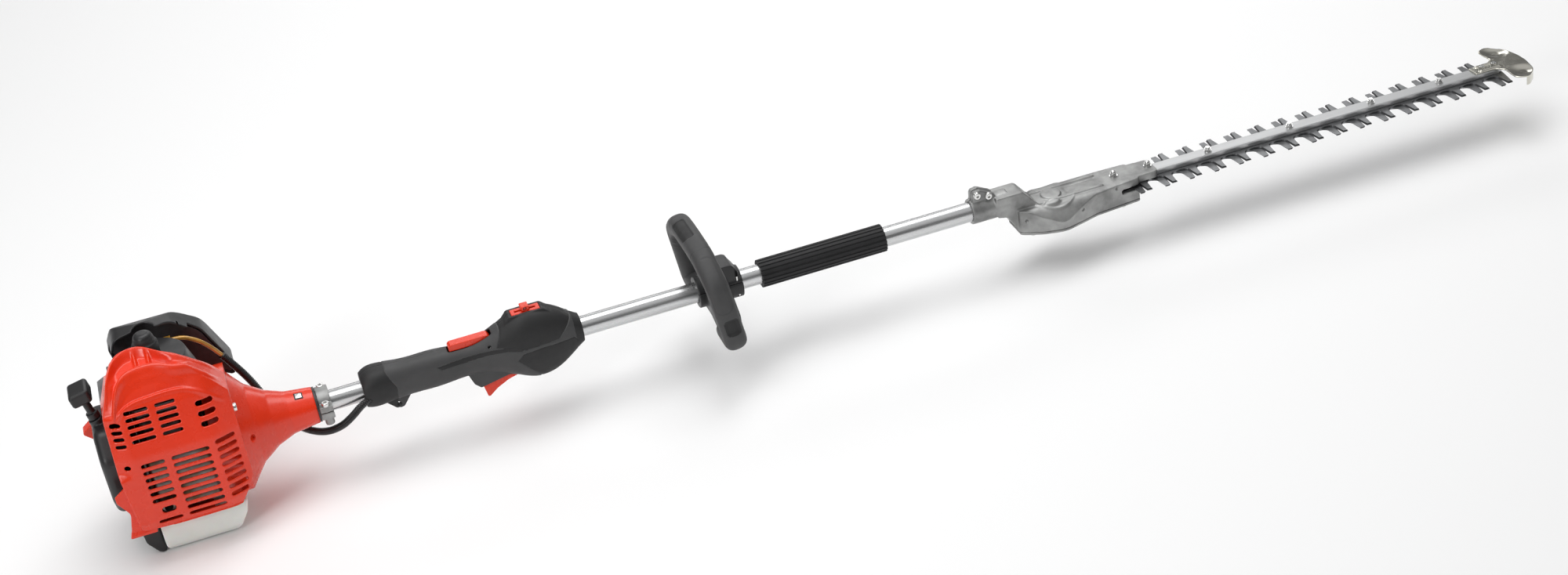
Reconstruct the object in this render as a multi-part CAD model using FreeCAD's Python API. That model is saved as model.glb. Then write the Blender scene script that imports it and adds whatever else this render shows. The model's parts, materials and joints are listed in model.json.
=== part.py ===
"""Pole hedge trimmer: a small two-stroke powerhead, a straight tube shaft with two handles, and a double blade.

Millimetres. +X runs forward along the shaft, +Z is up, +Y is the tool's left side.
The origin is on the shaft axis, in the middle of the bare tube between the rear grip and the loop handle.
"""

import FreeCAD, Part
import functools
import math
import os

V = FreeCAD.Vector
AX, AY, AZ = V(1, 0, 0), V(0, 1, 0), V(0, 0, 1)

# ---- driving dimensions -------------------------------------------------------------------
TUBE_R = 12.7            # one-inch shaft tube
TUBE_WALL = 1.5
TUBE_REAR, TUBE_FRONT = -410.0, 474.0
SHAFT_R = 4.0
FIT = 0.05               # running clearance on a radius
GAP = 0.4                # clearance between pieces that move past each other

ENGINE_X = -568.0        # cylinder axis
SHROUD_REAR, SHROUD_FRONT = -636.0, -493.0
SHROUD_WALL = 2.6
SHROUD_NEAR, SHROUD_FAR = -88.0, 44.0
SHROUD_TOP, SHROUD_LIP = 149.0, -56.0
NECK_FRONT_X, NECK_FRONT_R = -403.0, 22.0
TANK_BOTTOM = -101.0

GRIP_REAR, GRIP_FRONT = -346.0, -74.0
TRIGGER_PIVOT = V(-156, 0, -25)
LOCKOUT_PIVOT = V(-189, 0, 18)
SWITCH_X, SWITCH_TOP = -136.0, 45.5

LOOP_TOP, LOOP_BOTTOM, LOOP_HALF = 72.0, -28.0, 90.0
LOOP_BAR_R = 14.3
LOOP_SCREWS = ((99.0, 29.0), (124.0, 15.0))      # place along the shaft and height of each head
LOOP_SCREW_Y = 14.9
FOAM_REAR, FOAM_FRONT, FOAM_R = 157.0, 321.0, 17.75

HEAD_REAR = 439.0        # rear face of the gear case collar
COLLAR_R = 16.5
BEVEL_MODULE, BEVEL_PINION_TEETH, BEVEL_GEAR_TEETH = 1.4, 8, 16
SPUR_MODULE, SPUR_PINION_TEETH, SPUR_GEAR_TEETH = 1.6, 12, 39
COUNTER_X = 509.0        # axis of the counter gear
CRANK_X = COUNTER_X + SPUR_MODULE * (SPUR_PINION_TEETH + SPUR_GEAR_TEETH) / 2
CASE_TOP, CASE_SEAM, CASE_BOTTOM = -9.0, -39.5, -43.0
CASE_R, CASE_WALL = 42.0, 3.0
CAM_R, THROW = 7.0, 8.75
REST_SHIFT = 5.0         # the upper blade rests this far forward of mid stroke, the lower one behind

BAR_BOTTOM, BAR_THICK, BAR_HALF = -19.0, 6.0, 10.0
BAR_REAR, BAR_FRONT = 628.0, 1204.0
BLADE_THICK, BLADE_GAP = 2.0, 0.3
BLADE_FRONT = 1192.0
SPINE_HALF, TOOTH_REACH = 14.0, 39.0
TOOTH_PITCH, TOOTH_TIP_HALF, TOOTH_ROOT_HALF, TOOTH_ROOT_FILLET = 35.0, 3.6, 6.6, 9.0
NEAR_TEETH, FAR_TEETH = (665.0, 16), (717.5, 14)   # first tooth and count on each edge
BAR_BOLT_X = (772.0, 890.0, 1010.0, 1112.0)
TIP_SCREW_X = (1176.0, 1194.0)
CASE_STUD_X = (638.0, 686.0)


# ---- helpers ------------------------------------------------------------------------------
def block(x0, x1, y0, y1, z0, z1):
    return Part.makeBox(x1 - x0, y1 - y0, z1 - z0, V(x0, y0, z0))


def rod(radius, start, axis, length):
    return Part.makeCylinder(radius, length, start, axis)


def sleeve(outer, inner, start, axis, length):
    margin = axis * 0.5
    return rod(outer, start, axis, length).cut(rod(inner, start - margin, axis, length + 1.0))


def fuse(first, *others):
    return first.multiFuse(list(others)).removeSplitter()


def cut(base, *tools):
    for tool in tools:
        base = base.cut(tool)
    return base


def on_plane(plane, u, v, offset):
    if plane == "xz":
        return V(u, offset, v)
    if plane == "xy":
        return V(u, v, offset)
    return V(offset, u, v)


def plane_normal(plane):
    return {"xz": AY, "xy": AZ, "yz": AX}[plane]


def outline(plane, corners, offset=0.0):
    """Closed wire through (u, v, radius) corners, each rounded by a tangent arc."""
    points = [on_plane(plane, u, v, offset) for u, v, _ in corners]
    starts, ends, mids = [], [], []
    count = len(corners)
    for i in range(count):
        here, radius = points[i], corners[i][2]
        before = (points[i - 1] - here).normalize()
        after = (points[(i + 1) % count] - here).normalize()
        if radius <= 0:
            starts.append(here)
            ends.append(here)
            mids.append(None)
            continue
        half = before.getAngle(after) / 2
        run = radius / math.tan(half)
        bisector = (before + after).normalize()
        centre = here + bisector * (radius / math.sin(half))
        starts.append(here + before * run)
        ends.append(here + after * run)
        mids.append(centre - bisector * radius)
    edges = []
    for i in range(count):
        if mids[i] is not None:
            edges.append(Part.Arc(starts[i], mids[i], ends[i]).toShape())
        nxt = (i + 1) % count
        if (starts[nxt] - ends[i]).Length > 1e-6:
            edges.append(Part.LineSegment(ends[i], starts[nxt]).toShape())
    return Part.Wire(edges)


def prism(plane, corners, low, high):
    face = Part.Face(outline(plane, corners, low))
    return face.extrude(plane_normal(plane) * (high - low))


def inset_prism(plane, corners, low, high, inset):
    wire = outline(plane, corners, low).makeOffset2D(-inset)
    return Part.Face(wire).extrude(plane_normal(plane) * (high - low))


def turned(profile, start=V(0, 0, 0)):
    """Solid of revolution about the shaft axis from (x, radius) points."""
    points = [start + V(x, 0, r) for x, r in profile]
    face = Part.Face(Part.makePolygon(points + [points[0]]))
    return face.revolve(V(0, 0, 0), AX, 360)


def rounded(solid, radius, keep=None):
    edges = [e for e in solid.Edges if keep is None or keep(e)]
    return solid.makeFillet(radius, edges)


def rounded_block(x0, x1, y0, y1, z0, z1, radius):
    return rounded(block(x0, x1, y0, y1, z0, z1), radius)


def oval_section(x, half_height, half_width, centre_z, squareness=2.4):
    """Closed smooth section across the shaft, a little squarer than an ellipse."""
    points = []
    for i in range(16):
        angle = math.radians(22.5 * i)
        c, s = math.cos(angle), math.sin(angle)
        y = half_width * math.copysign(abs(c) ** (2 / squareness), c)
        z = half_height * math.copysign(abs(s) ** (2 / squareness), s)
        points.append(V(x, y, centre_z + z))
    curve = Part.BSplineCurve()
    curve.interpolate(points, PeriodicFlag=True)
    return Part.Wire([curve.toShape()])


def loft(sections, grow=0.0):
    wires = [oval_section(x, a + grow, b + grow, z) for x, a, b, z in sections]
    return Part.makeLoft(wires, True, False)


def cap_screw(position, axis, head_r, head_h, shank_r, shank_len):
    """Pan-head screw: position is under the head, axis points from the shank out through the head."""
    head = rod(head_r, position, axis, head_h)
    top = [e for e in head.Edges if e.Closed and e.CenterOfMass.distanceToPoint(position + axis * head_h) < 1e-3]
    head = head.makeFillet(head_h * 0.35, top)
    socket = rod(head_r * 0.42, position + axis * (head_h * 0.45), axis, head_h)
    shank = rod(shank_r, position - axis * shank_len, axis, shank_len)
    return fuse(head, shank).cut(socket)


def hex_prism(centre, axis, across_flats, height):
    radius = across_flats / math.sqrt(3)
    side = AX if abs(axis.x) < 0.5 else AY
    other = axis.cross(side)
    points = []
    for i in range(7):
        angle = math.radians(60 * i)
        points.append(centre + side * (radius * math.cos(angle)) + other * (radius * math.sin(angle)))
    return Part.Face(Part.makePolygon(points)).extrude(axis * height)


def bent_tube(route, radius):
    """Round tube along straight runs joined by the largest tangent arcs that the runs allow."""
    edges = []
    here = route[0]
    radii = []
    for i in range(1, len(route) - 1):
        back, ahead = route[i - 1] - route[i], route[i + 1] - route[i]
        shorter = min(back.Length, ahead.Length)
        half = back.getAngle(ahead) / 2
        run = 0.45 * shorter
        radii.append(round(run * math.tan(half), 1))
        start = route[i] + back.normalize() * run
        end = route[i] + ahead.normalize() * run
        bisector = ((start - route[i]) + (end - route[i])).normalize()
        centre = route[i] + bisector * (run / math.cos(half))
        middle = centre - bisector * (run * math.tan(half))
        if (start - here).Length > 1e-6:
            edges.append(Part.LineSegment(here, start).toShape())
        edges.append(Part.Arc(start, middle, end).toShape())
        here = end
    edges.append(Part.LineSegment(here, route[-1]).toShape())
    path = Part.Wire(edges)
    circle = Part.Wire([Part.makeCircle(radius, route[0], route[1] - route[0])])
    solid = path.makePipeShell([circle], True, True)
    print("tube radii", radii, "volume ratio", round(solid.Volume / (math.pi * radius**2 * path.Length), 4))
    return solid


def gear_outline(teeth, module, scale, centre, u, v, phase):
    """Straight-flanked tooth outline, slim enough to turn in mesh without touching."""
    pitch_r = teeth * module / 2
    tip, root = (pitch_r + 0.7 * module) * scale, (pitch_r - 1.3 * module) * scale
    step = 2 * math.pi / teeth
    points = []
    for i in range(teeth):
        base = phase + i * step
        for radius, turn in ((root, -0.25), (tip, -0.09), (tip, 0.09), (root, 0.25)):
            angle = base + turn * step
            points.append(centre + u * (radius * math.cos(angle)) + v * (radius * math.sin(angle)))
    return Part.makePolygon(points + [points[0]])


def spur_gear(teeth, module, centre, height, phase):
    wire = gear_outline(teeth, module, 1.0, centre, AX, AY, phase)
    return Part.Face(wire).extrude(AZ * height)


def bevel_gear(teeth, module, apex, axis, u, v, cone_len, phase):
    """Bevel teeth: the same outline shrinking from the back face towards the apex."""
    keep = 0.62
    back = gear_outline(teeth, module, 1.0, apex + axis * cone_len, u, v, phase)
    front = gear_outline(teeth, module, keep, apex + axis * (cone_len * keep), u, v, phase)
    return Part.makeLoft([back, front], True, True)


# ---- shaft --------------------------------------------------------------------------------
def drive_tube():
    return sleeve(TUBE_R, TUBE_R - TUBE_WALL, V(TUBE_REAR, 0, 0), AX, TUBE_FRONT - TUBE_REAR)


def shaft_bushings():
    bore = TUBE_R - TUBE_WALL
    rings = [sleeve(bore - 0.02, SHAFT_R + FIT, V(x, 0, 0), AX, 16) for x in (-380, -170, 40, 250, 440)]
    return Part.makeCompound(rings)


def drive_shaft():
    return rod(SHAFT_R, V(-446, 0, 0), AX, pinion_back_x() + 446)


def clutch_drum():
    cup = turned([(-478, 21.4), (-478, 24.2), (-451, 24.2), (-449, 22), (-449, 7), (-440, 7), (-440, 4),
                  (-453, 4), (-453, 21.4)])
    return cup.cut(rod(SHAFT_R, V(-460, 0, 0), AX, 40))


def pinion_back_x():
    return COUNTER_X - BEVEL_MODULE * BEVEL_GEAR_TEETH / 2


def bevel_pinion():
    cone = BEVEL_MODULE * BEVEL_GEAR_TEETH / 2
    teeth = bevel_gear(BEVEL_PINION_TEETH, BEVEL_MODULE, V(COUNTER_X, 0, 0), -AX, AZ, -AY, cone, math.pi)
    hub = rod(5.2, V(pinion_back_x() - 6, 0, 0), AX, 6.0)
    bore = rod(SHAFT_R, V(pinion_back_x() - 7, 0, 0), AX, 7)
    return fuse(teeth, hub).cut(bore)


def shaft_bearing():
    """Ball bearing that carries the front end of the drive shaft in the gear case, as a list of solids."""
    back = pinion_back_x() - 16
    outer = sleeve(11, 9, V(back, 0, 0), AX, 7)
    inner = sleeve(6, SHAFT_R + FIT, V(back, 0, 0), AX, 7)
    balls = []
    for i in range(8):
        angle = math.radians(45 * i)
        balls.append(Part.makeSphere(1.5, V(back + 3.5, 7.5 * math.cos(angle), 7.5 * math.sin(angle))))
    return [outer, inner] + balls


# ---- powerhead covers -----------------------------------------------------------------------
SHROUD_SIDE = [(-630, -50, 6), (-636, 30, 20), (-634, 96, 20), (-616, 140, 22), (-582, SHROUD_TOP, 30),
               (-550, 144, 30), (-522, 122, 20), (SHROUD_FRONT, 92, 8), (SHROUD_FRONT, -22, 14),
               (-516, SHROUD_LIP, 10)]
SHROUD_END = [(-80, SHROUD_LIP, 5), (SHROUD_NEAR, -38, 14), (SHROUD_NEAR, 44, 40), (-72, 100, 30),
              (-52, 134, 24), (-6, SHROUD_TOP, 40), (34, 142, 18), (SHROUD_FAR, 118, 10), (SHROUD_FAR, 64, 3),
              (-10, 50, 20), (-20, SHROUD_LIP, 3)]
FLAP_SIDE = [(-614, 22, 4), (-628, 16, 6), (-648, 2, 2), (-648, -6, 2), (-637, -24, 10), (-642, -46, 3),
             (-646, -56, 1.5), (-614, -56, 2)]
NECK_PROFILE = [(NECK_FRONT_X, NECK_FRONT_R), (-435, 26), (-456, 34), (-477, 48), (-490, 64), (-498, 74),
                (-526, 76)]


def slot_cutter(x0, x1, z, height):
    radius = height / 2 - 0.1
    corners = [(x0, z - height / 2, radius), (x0, z + height / 2, radius), (x1, z + height / 2, radius),
               (x1, z - height / 2, radius)]
    return prism("xz", corners, SHROUD_NEAR - 10, -58)


def cover_slots():
    """Cooling slots: two columns above, two columns below, and one along the front corner."""
    slots = []
    for z in (99, 91, 83, 75, 66):
        slots.append(slot_cutter(-610, -583, z, 4.2))
        slots.append(slot_cutter(-575, -552, z, 4.2))
    for row in range(9):
        z = 36 - row * 9.7
        if row not in (6, 7):
            slots.append(slot_cutter(-609, -582, z, 5))
        slots.append(slot_cutter(-574, -531, z, 5))
    for row in range(8):
        slots.append(slot_cutter(-523, -500, 40 - row * 10.4, 5.4))
    for z in (88, 76, 64):
        slots.append(slot_cutter(-532, -512, z, 6))
    slots.append(slot_cutter(-602, -586, -27, 8))
    return slots


def engine_cover():
    outer = prism("xz", SHROUD_SIDE, SHROUD_NEAR - 1, SHROUD_FAR + 1).common(
        prism("yz", SHROUD_END, SHROUD_REAR - 1, SHROUD_FRONT + 1))
    inner = inset_prism("xz", SHROUD_SIDE, SHROUD_NEAR - 1, SHROUD_FAR + 1, SHROUD_WALL).common(
        inset_prism("yz", SHROUD_END, SHROUD_REAR - 1, SHROUD_FRONT + 1, SHROUD_WALL))
    shell = outer.cut(inner)
    under = block(-628, -514, -82, SHROUD_FAR - 3, SHROUD_LIP - 5, SHROUD_LIP + 3.5)
    far_side = block(-640, -480, -24.5, SHROUD_FAR + 5, SHROUD_LIP - 5, 66)
    plug_hole = rod(15.5, V(ENGINE_X, 2, 120), AZ, 40)
    lead_slot = block(ENGINE_X - 6, ENGINE_X + 6, 0, 50, 120, 160)
    intake = block(ENGINE_X - 25, ENGINE_X + 22, 30, 50, 50, 100)
    rear_opening = inset_prism("yz", STARTER_SIDE, -660, -600, -0.6)
    fan_pocket = rod(77.0, V(-530, 0, 0), AX, 60)
    screw_hole = rod(2.1, V(-510, -58, 61), AX, 20)
    flap = prism("xz", FLAP_SIDE, SHROUD_NEAR + 8, SHROUD_NEAR + 11)
    for z in (-12, -21, -30, -38):
        flap = flap.cut(prism("xz", [(-633, z - 2, 1.9), (-633, z + 2, 1.9), (-622, z + 2, 1.9), (-622, z - 2, 1.9)],
                              SHROUD_NEAR, SHROUD_NEAR + 20))
    openings = [under, far_side, plug_hole, lead_slot, intake, rear_opening, fan_pocket, screw_hole]
    shell = cut(shell, *openings, *cover_slots())
    return largest_solid(fuse(shell, flap.cut(inner)))


def largest_solid(shape):
    return max(shape.Solids, key=lambda s: s.Volume)


def fan_cover():
    """Trumpet-shaped housing round the fan and clutch that narrows to the shaft socket."""
    inner = [(x, r - SHROUD_WALL) for x, r in NECK_PROFILE]
    inner[0] = (NECK_FRONT_X, TUBE_R + FIT)
    socket_back = -428.0
    wall = [(NECK_FRONT_X, TUBE_R + FIT), (NECK_FRONT_X, NECK_FRONT_R)] + NECK_PROFILE[1:]
    back = [(x, r) for x, r in reversed(inner[2:])]
    profile = wall + back + [(socket_back - 6, 22.4), (socket_back, 20), (socket_back, TUBE_R + FIT)]
    shell = turned(profile)
    lug = fuse(rod(5.5, V(-508, -58, 61), AX, 11.8), rod(5.5, V(-508, -53, 55.7), AX, 11.8))
    lug = lug.cut(rod(74.5, V(-520, 0, 0), AX, 40))
    return fuse(shell, lug).cut(rod(2.05, V(-520, -58, 61), AX, 30))


def neck_gasket():
    return sleeve(NECK_FRONT_R - 0.4, TUBE_R + FIT, V(NECK_FRONT_X, 0, 0), AX, 2.4)


def clamp_body():
    barrel = rod(19, V(-400.4, 0, 0), AX, 15.4)
    ears = block(-400.4, -385, -27, 27, -9, 8)
    body = fuse(barrel, ears)
    for side in (-1, 1):
        body = fuse(body, rod(5.6, V(-392.5, 22 * side, -17), AZ, 25))
    body = body.cut(rod(TUBE_R + FIT, V(-402, 0, 0), AX, 20))
    for side in (-1, 1):
        body = body.cut(rod(2.6, V(-392.5, 22 * side, -20), AZ, 40))
    return body


def neck_clamp_upper():
    return clamp_body().common(block(-402, -384, -40, 40, 0.6, 40))


def neck_clamp_lower():
    return clamp_body().common(block(-402, -384, -40, 40, -40, -0.6))


def clamp_bolts():
    """Two cap screws of the neck clamp and the four sunk screws of the loop bracket."""
    bolts = [cap_screw(V(-392.5, 22 * side, 8), AZ, 4.9, 4.2, 2.5, 24) for side in (-1, 1)]
    for x, top in LOOP_SCREWS:
        bolts += [rod(2.15, V(x, y, -12), AZ, top + 12) for y in (-LOOP_SCREW_Y, LOOP_SCREW_Y)]
    return Part.makeCompound(bolts)


def cover_screws():
    near = cap_screw(V(SHROUD_FRONT, -58, 61), AX, 5, 3.6, 2.0, 12)
    return Part.makeCompound([near])


# ---- engine ---------------------------------------------------------------------------------
def crankcase():
    body = turned([(-604, 0), (-604, 30), (-596, 35), (-540, 35), (-532, 30), (-532, 0)])
    deck = block(ENGINE_X - 30, ENGINE_X + 30, -27, 27, 0, 36)
    sump = block(-600, -536, -24, 24, -44, -20)
    chamber = rod(26, V(-590, 0, 0), AX, 44)
    barrel = rod(16, V(ENGINE_X, 0, 0), AZ, 40)
    bearings = rod(8.05, V(-610, 0, 0), AX, 90)
    return cut(fuse(body, deck, sump), chamber, barrel, bearings)


def cylinder():
    core = rod(24, V(ENGINE_X, 0, 36), AZ, 84)
    base = block(ENGINE_X - 30, ENGINE_X + 30, -27, 27, 36, 42)
    parts = [base]
    for i in range(10):
        z = 50 + i * 7
        parts.append(rounded_fin(z, 37 if 2 < i < 9 else 33))
    exhaust = block(ENGINE_X - 15, ENGINE_X + 15, -40, 0, 40, 66)
    intake = block(ENGINE_X - 14, ENGINE_X + 14, 0, 40, 58, 82)
    solid = fuse(core, exhaust, intake, *parts)
    bore = rod(16, V(ENGINE_X, 0, 35), AZ, 70)
    ports = [rod(8, V(ENGINE_X, -41, 54), AY, 40), rod(8, V(ENGINE_X, 1, 70), AY, 40)]
    return cut(solid, bore, rod(5.5, V(ENGINE_X, 0, 100), AZ, 30), *ports)


def rounded_fin(z, half):
    corners = [(ENGINE_X - half, -half, 8), (ENGINE_X + half, -half, 8), (ENGINE_X + half, half, 8),
               (ENGINE_X - half, half, 8)]
    return prism("xy", corners, z, z + 2.4)


def piston():
    crown = rod(15.95, V(ENGINE_X, 0, 62), AZ, 22)
    skirt = rod(13, V(ENGINE_X, 0, 61), AZ, 16)
    return crown.cut(skirt)


def muffler():
    can = rounded_block(-604, -530, -80, -48, -38, 44, 7)
    arm = block(ENGINE_X - 12, ENGINE_X + 12, -60, -40, 40, 66)
    outlet = rod(7, V(-594, -84, -27), AY, 10)
    rim = block(-607, -527.5, -66, -63, -41, 47)
    return fuse(can, arm, rim, outlet).cut(rod(5, V(-594, -86, -27), AY, 16))


def spark_plug():
    thread = rod(5.4, V(ENGINE_X, 0, 101), AZ, 21)
    nut = hex_prism(V(ENGINE_X, 0, 120), AZ, 16, 7)
    insulator = rod(4.5, V(ENGINE_X, 0, 127), AZ, 16)
    return fuse(thread, nut, insulator)


def spark_plug_cap():
    dome = rod(11.5, V(ENGINE_X, 0, 128), AZ, 28)
    dome = dome.makeFillet(7, [e for e in dome.Edges if e.Closed and e.CenterOfMass.z > 155])
    lip = rod(13.5, V(ENGINE_X, 0, 128), AZ, 5)
    lead = rod(4, V(ENGINE_X, 0, 140), AY, 26)
    return fuse(dome, lip, lead).cut(rod(4.55, V(ENGINE_X, 0, 127), AZ, 17))


def ignition_coil():
    body = block(-520, -500, 40, 56, 33.5, 44)
    pole = block(-514, -506, 38, 50, 40, 50)
    return fuse(body, pole)


def crankshaft():
    journals = rod(8, V(-630, 0, 0), AX, 140)
    webs = [rod(24, V(-586, 0, 0), AX, 10), rod(24, V(-560, 0, 0), AX, 10)]
    return fuse(journals, *webs)


def flywheel():
    disc = turned([(-518, 8), (-518, 34), (-512, 50), (-507, 50), (-507, 8)])
    vanes = []
    for i in range(14):
        vane = block(-507, -493, -1.2, 1.2, 26, 49)
        vane.rotate(V(0, 0, 0), AX, 360 * i / 14)
        vanes.append(vane)
    hub = turned([(-507, 8), (-507, 20), (-492, 20), (-492, 8)])
    return fuse(disc, hub, *vanes)


def clutch_shoes():
    ring = sleeve(19.8, 9, V(-474, 0, 0), AX, 14)
    hub = sleeve(12, 6, V(-490, 0, 0), AX, 30)
    gap = block(-480, -455, -1.5, 1.5, -25, 25)
    shoes = fuse(ring.cut(gap), hub)
    return shoes


def starter_pulley():
    return turned([(-628, 8.2), (-628, 28), (-625, 28), (-625, 24), (-620, 24), (-620, 28), (-617, 28),
                   (-617, 8.2)])


HANDLE_FOOT = V(-645, -10, 70)
HANDLE_AXIS = V(-0.2, 0, 0.98).normalize()
STARTER_REAR = -653.0
STARTER_SIDE = [(-40, -44, 16), (-60, -20, 14), (-62, 38, 20), (-36, 66, 16), (30, 66, 18), (56, 40, 20),
                (56, -20, 18), (36, -44, 14)]


def starter_housing():
    """Black rear housing that holds the recoil starter, open towards the crankcase."""
    outer = prism("yz", STARTER_SIDE, STARTER_REAR, -611)
    rim_edges = [edge for edge in outer.Edges if abs(edge.CenterOfMass.x - STARTER_REAR) < 0.01]
    outer = outer.makeFillet(9, rim_edges)
    inner = inset_prism("yz", STARTER_SIDE, -649.5, -610, 3.2)
    boss = rod(10, V(-650, 0, 0), AX, 19)
    guide = rod(8.5, HANDLE_FOOT - HANDLE_AXIS * 6, HANDLE_AXIS, 8)
    rim = block(-612, -610, -90, 90, -60, 90)
    body = fuse(outer.cut(inner), boss, guide)
    axle_hole = rod(8.4, V(-632, 0, 0), AX, 30)
    rope_hole = rod(2.4, HANDLE_FOOT + HANDLE_AXIS * 3, -HANDLE_AXIS, 33)
    return largest_solid(cut(body, axle_hole, rim, rope_hole))


def starter_handle():
    """T handle standing on the rope outlet, with the first stretch of rope inside the housing."""
    stem = rod(4.6, HANDLE_FOOT + HANDLE_AXIS * 2.6, HANDLE_AXIS, 32)
    foot = rod(7.2, HANDLE_FOOT + HANDLE_AXIS * 2.6, HANDLE_AXIS, 8)
    head = rounded_block(-12, 12, -17, 17, 0, 17, 4)
    head.Placement = FreeCAD.Placement(HANDLE_FOOT + HANDLE_AXIS * 30, FreeCAD.Rotation(AZ, HANDLE_AXIS))
    rope = rod(1.8, HANDLE_FOOT - HANDLE_AXIS * 56, HANDLE_AXIS, 60)
    return fuse(stem, foot, head, rope)


def rear_shield():
    """Coloured guard on the far rear corner, beside the starter."""
    corners = [(-611, 44, 3), (-640, 40, 8), (-672, 16, 3), (-640, -14, 6), (-611, -22, 3)]
    plate = prism("xz", corners, 58.4, 61.4)
    web = prism("xz", corners, 61, 74).cut(inset_prism("xz", corners, 60, 80, 2.8))
    return fuse(plate, web).common(block(-700, -612, 50, 90, -60, 90))


def tank_solid(inset):
    """Tank body with a saddle under the crankcase, hollowed in front to clear the fan housing."""
    side = [(-612, TANK_BOTTOM, 12), (-528, TANK_BOTTOM, 22), (-512, -74, 14), (-508, -57, 3), (-612, -57, 4)]
    ends = [(-64, TANK_BOTTOM, 16), (64, TANK_BOTTOM, 16), (66, -57, 4), (-66, -57, 4)]
    lower = inset_prism("xz", side, -70, 70, inset).common(inset_prism("yz", ends, -620, -500, inset))
    saddle = inset_prism("xz", [(-602, -46, 4), (-532, -46, 4), (-532, -70, 4), (-602, -70, 4)], -16 + inset,
                         58 - inset, inset)
    return fuse(lower, saddle).cut(rod(77.4 + inset, V(-530 - inset, 0, 0), AX, 40))


def fuel_tank():
    outer, inner = tank_solid(0.001), tank_solid(2.2)
    neck = sleeve(15, 11, V(-560, 60, -78), AY, 12)
    tank = fuse(outer.cut(inner), neck)
    return tank.cut(rod(11, V(-560, 55, -78), AY, 30))


def fuel_cap():
    cap = sleeve(19, 15 + GAP, V(-560, 68.4, -78), AY, 9)
    lid = rod(19, V(-560, 73, -78), AY, 6)
    knurls = [rod(1.6, V(-560 + 19 * math.cos(a), 69, -78 + 19 * math.sin(a)), AY, 9)
              for a in [math.radians(30 * i) for i in range(12)]]
    return fuse(cap, lid, *knurls)


def tank_guard():
    """Foot under the rear of the tank that the powerhead stands on."""
    corners = [(-635, -57, 4), (-633, -84, 12), (-621, TANK_BOTTOM, 6), (-613.5, TANK_BOTTOM, 2), (-613.5, -57, 1)]
    bracket = prism("xz", corners, -56, 56)
    pocket = prism("xz", [(-631, -60, 3), (-629, -82, 8), (-619, -96, 4), (-617.5, -60, 3)], -51, 51)
    post = block(-630, -613.5, -20, 20, -59, -44.6)
    return fuse(bracket, post).cut(pocket)


# ---- carburettor side -----------------------------------------------------------------------
def carburetor():
    body = rounded_block(-588, -550, 42, 70, 56, 96, 4)
    flange = block(-586, -552, 40.2, 44, 54, 90)
    bowl = rod(13, V(-569, 56, 48), AZ, 9)
    return fuse(body, flange, bowl).cut(rod(8, V(ENGINE_X, 39, 70), AY, 40))


def primer_bulb():
    base = rod(9, V(-569, 56, 44.4), -AZ, 3)
    return fuse(base, Part.makeSphere(7.5, V(-569, 56, 41.5), -AZ, 0, 90, 360))


AIR_SIDE = [(-614, 108, 6), (-604, 132, 16), (-572, 139, 30), (-540, 134, 30), (-505, 104, 30), (-480, 48, 16),
            (-482, 30, 4), (-520, 52, 20), (-604, 52, 8)]


AIR_END = [(10, 20, 2), (10, 136, 10), (52, 141, 30), (88, 128, 26), (104, 92, 20), (104, 40, 12), (96, 20, 6)]


def air_cleaner_base():
    plate = inset_prism("xz", AIR_SIDE, 70.2, 74.2, 4.0).common(inset_prism("yz", AIR_END, -620, -470, 3.6))
    return plate.cut(rod(8, V(ENGINE_X, 60, 70), AY, 40))


def air_filter():
    return rounded_block(-596, -526, 74.6, 90, 62, 108, 5)


def air_cleaner_cover():
    """Domed black cover with a notch over the spark plug cap."""
    outer = prism("xz", AIR_SIDE, 24, 104).common(prism("yz", AIR_END, -620, -470))
    inner = inset_prism("xz", AIR_SIDE, 20, 101, 2.8).common(inset_prism("yz", AIR_END, -620, -470, 2.8))
    shell = outer.cut(inner)
    near_side = block(-700, -440, 20, 70, 0, 116)
    near_edge = block(-700, -440, 0, 46, 0, 160)
    notch = rod(13, V(ENGINE_X, 46, 100), AZ, 60)
    slope = block(-530, -440, 20, 58, 0, 160)
    return largest_solid(cut(shell, near_side, near_edge, notch, slope))


def choke_lever():
    stem = rod(2.4, V(-592, 58, 84), -AX, 26)
    paddle = rounded_block(-621.5, -616, 54, 62, 74, 94, 2)
    return fuse(stem, paddle)


def throttle_cable():
    """Tinted sheath and its end fitting between the carburettor and the conduit."""
    route = [V(-541, 51, 110), V(-527, 50.5, 109), V(-511, 50, 99), V(-500, 50, 86), CONDUIT_ROUTE[0]]
    sheath = bent_tube(route, 2.6)
    fitting = hex_prism(V(-549, 51, 110), AX, 9, 8)
    wire = rod(0.9, V(-549, 51, 110), V(-18, 8, -16), 20)
    return fuse(sheath, fitting, wire)


CONDUIT_R = 4.7
CONDUIT_ROUTE = [V(-491, 50.5, 72), V(-480, 52, 52), V(-468, 52, 28), V(-456, 44, 0), V(-443, 30, -22),
                 V(-424, 13, -36), V(-402, -1, -40.5), V(-381, -11, -33), V(-365, -18, -19), V(-352, -19.5, -7),
                 V(-338, -18.6, -1.5)]


def cable_conduit():
    return bent_tube(CONDUIT_ROUTE, CONDUIT_R)


# ---- rear grip ------------------------------------------------------------------------------
GRIP_SECTIONS = [(GRIP_REAR, 20, 22, 1), (-330, 25, 24.5, 3), (-308, 23.5, 21, 3), (-285, 22.5, 18.5, 2.5),
                 (-240, 21.5, 18, 2), (-200, 22.5, 19, 2.5), (-178, 30, 23, 3), (-156, 41, 27, 2.5),
                 (-118, 44.5, 27.5, 0.5), (-96, 33, 24, 0.5), (-80, 21, 19, 0), (GRIP_FRONT, 17.5, 17, 0)]
GRIP_WALL = 2.6


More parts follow.
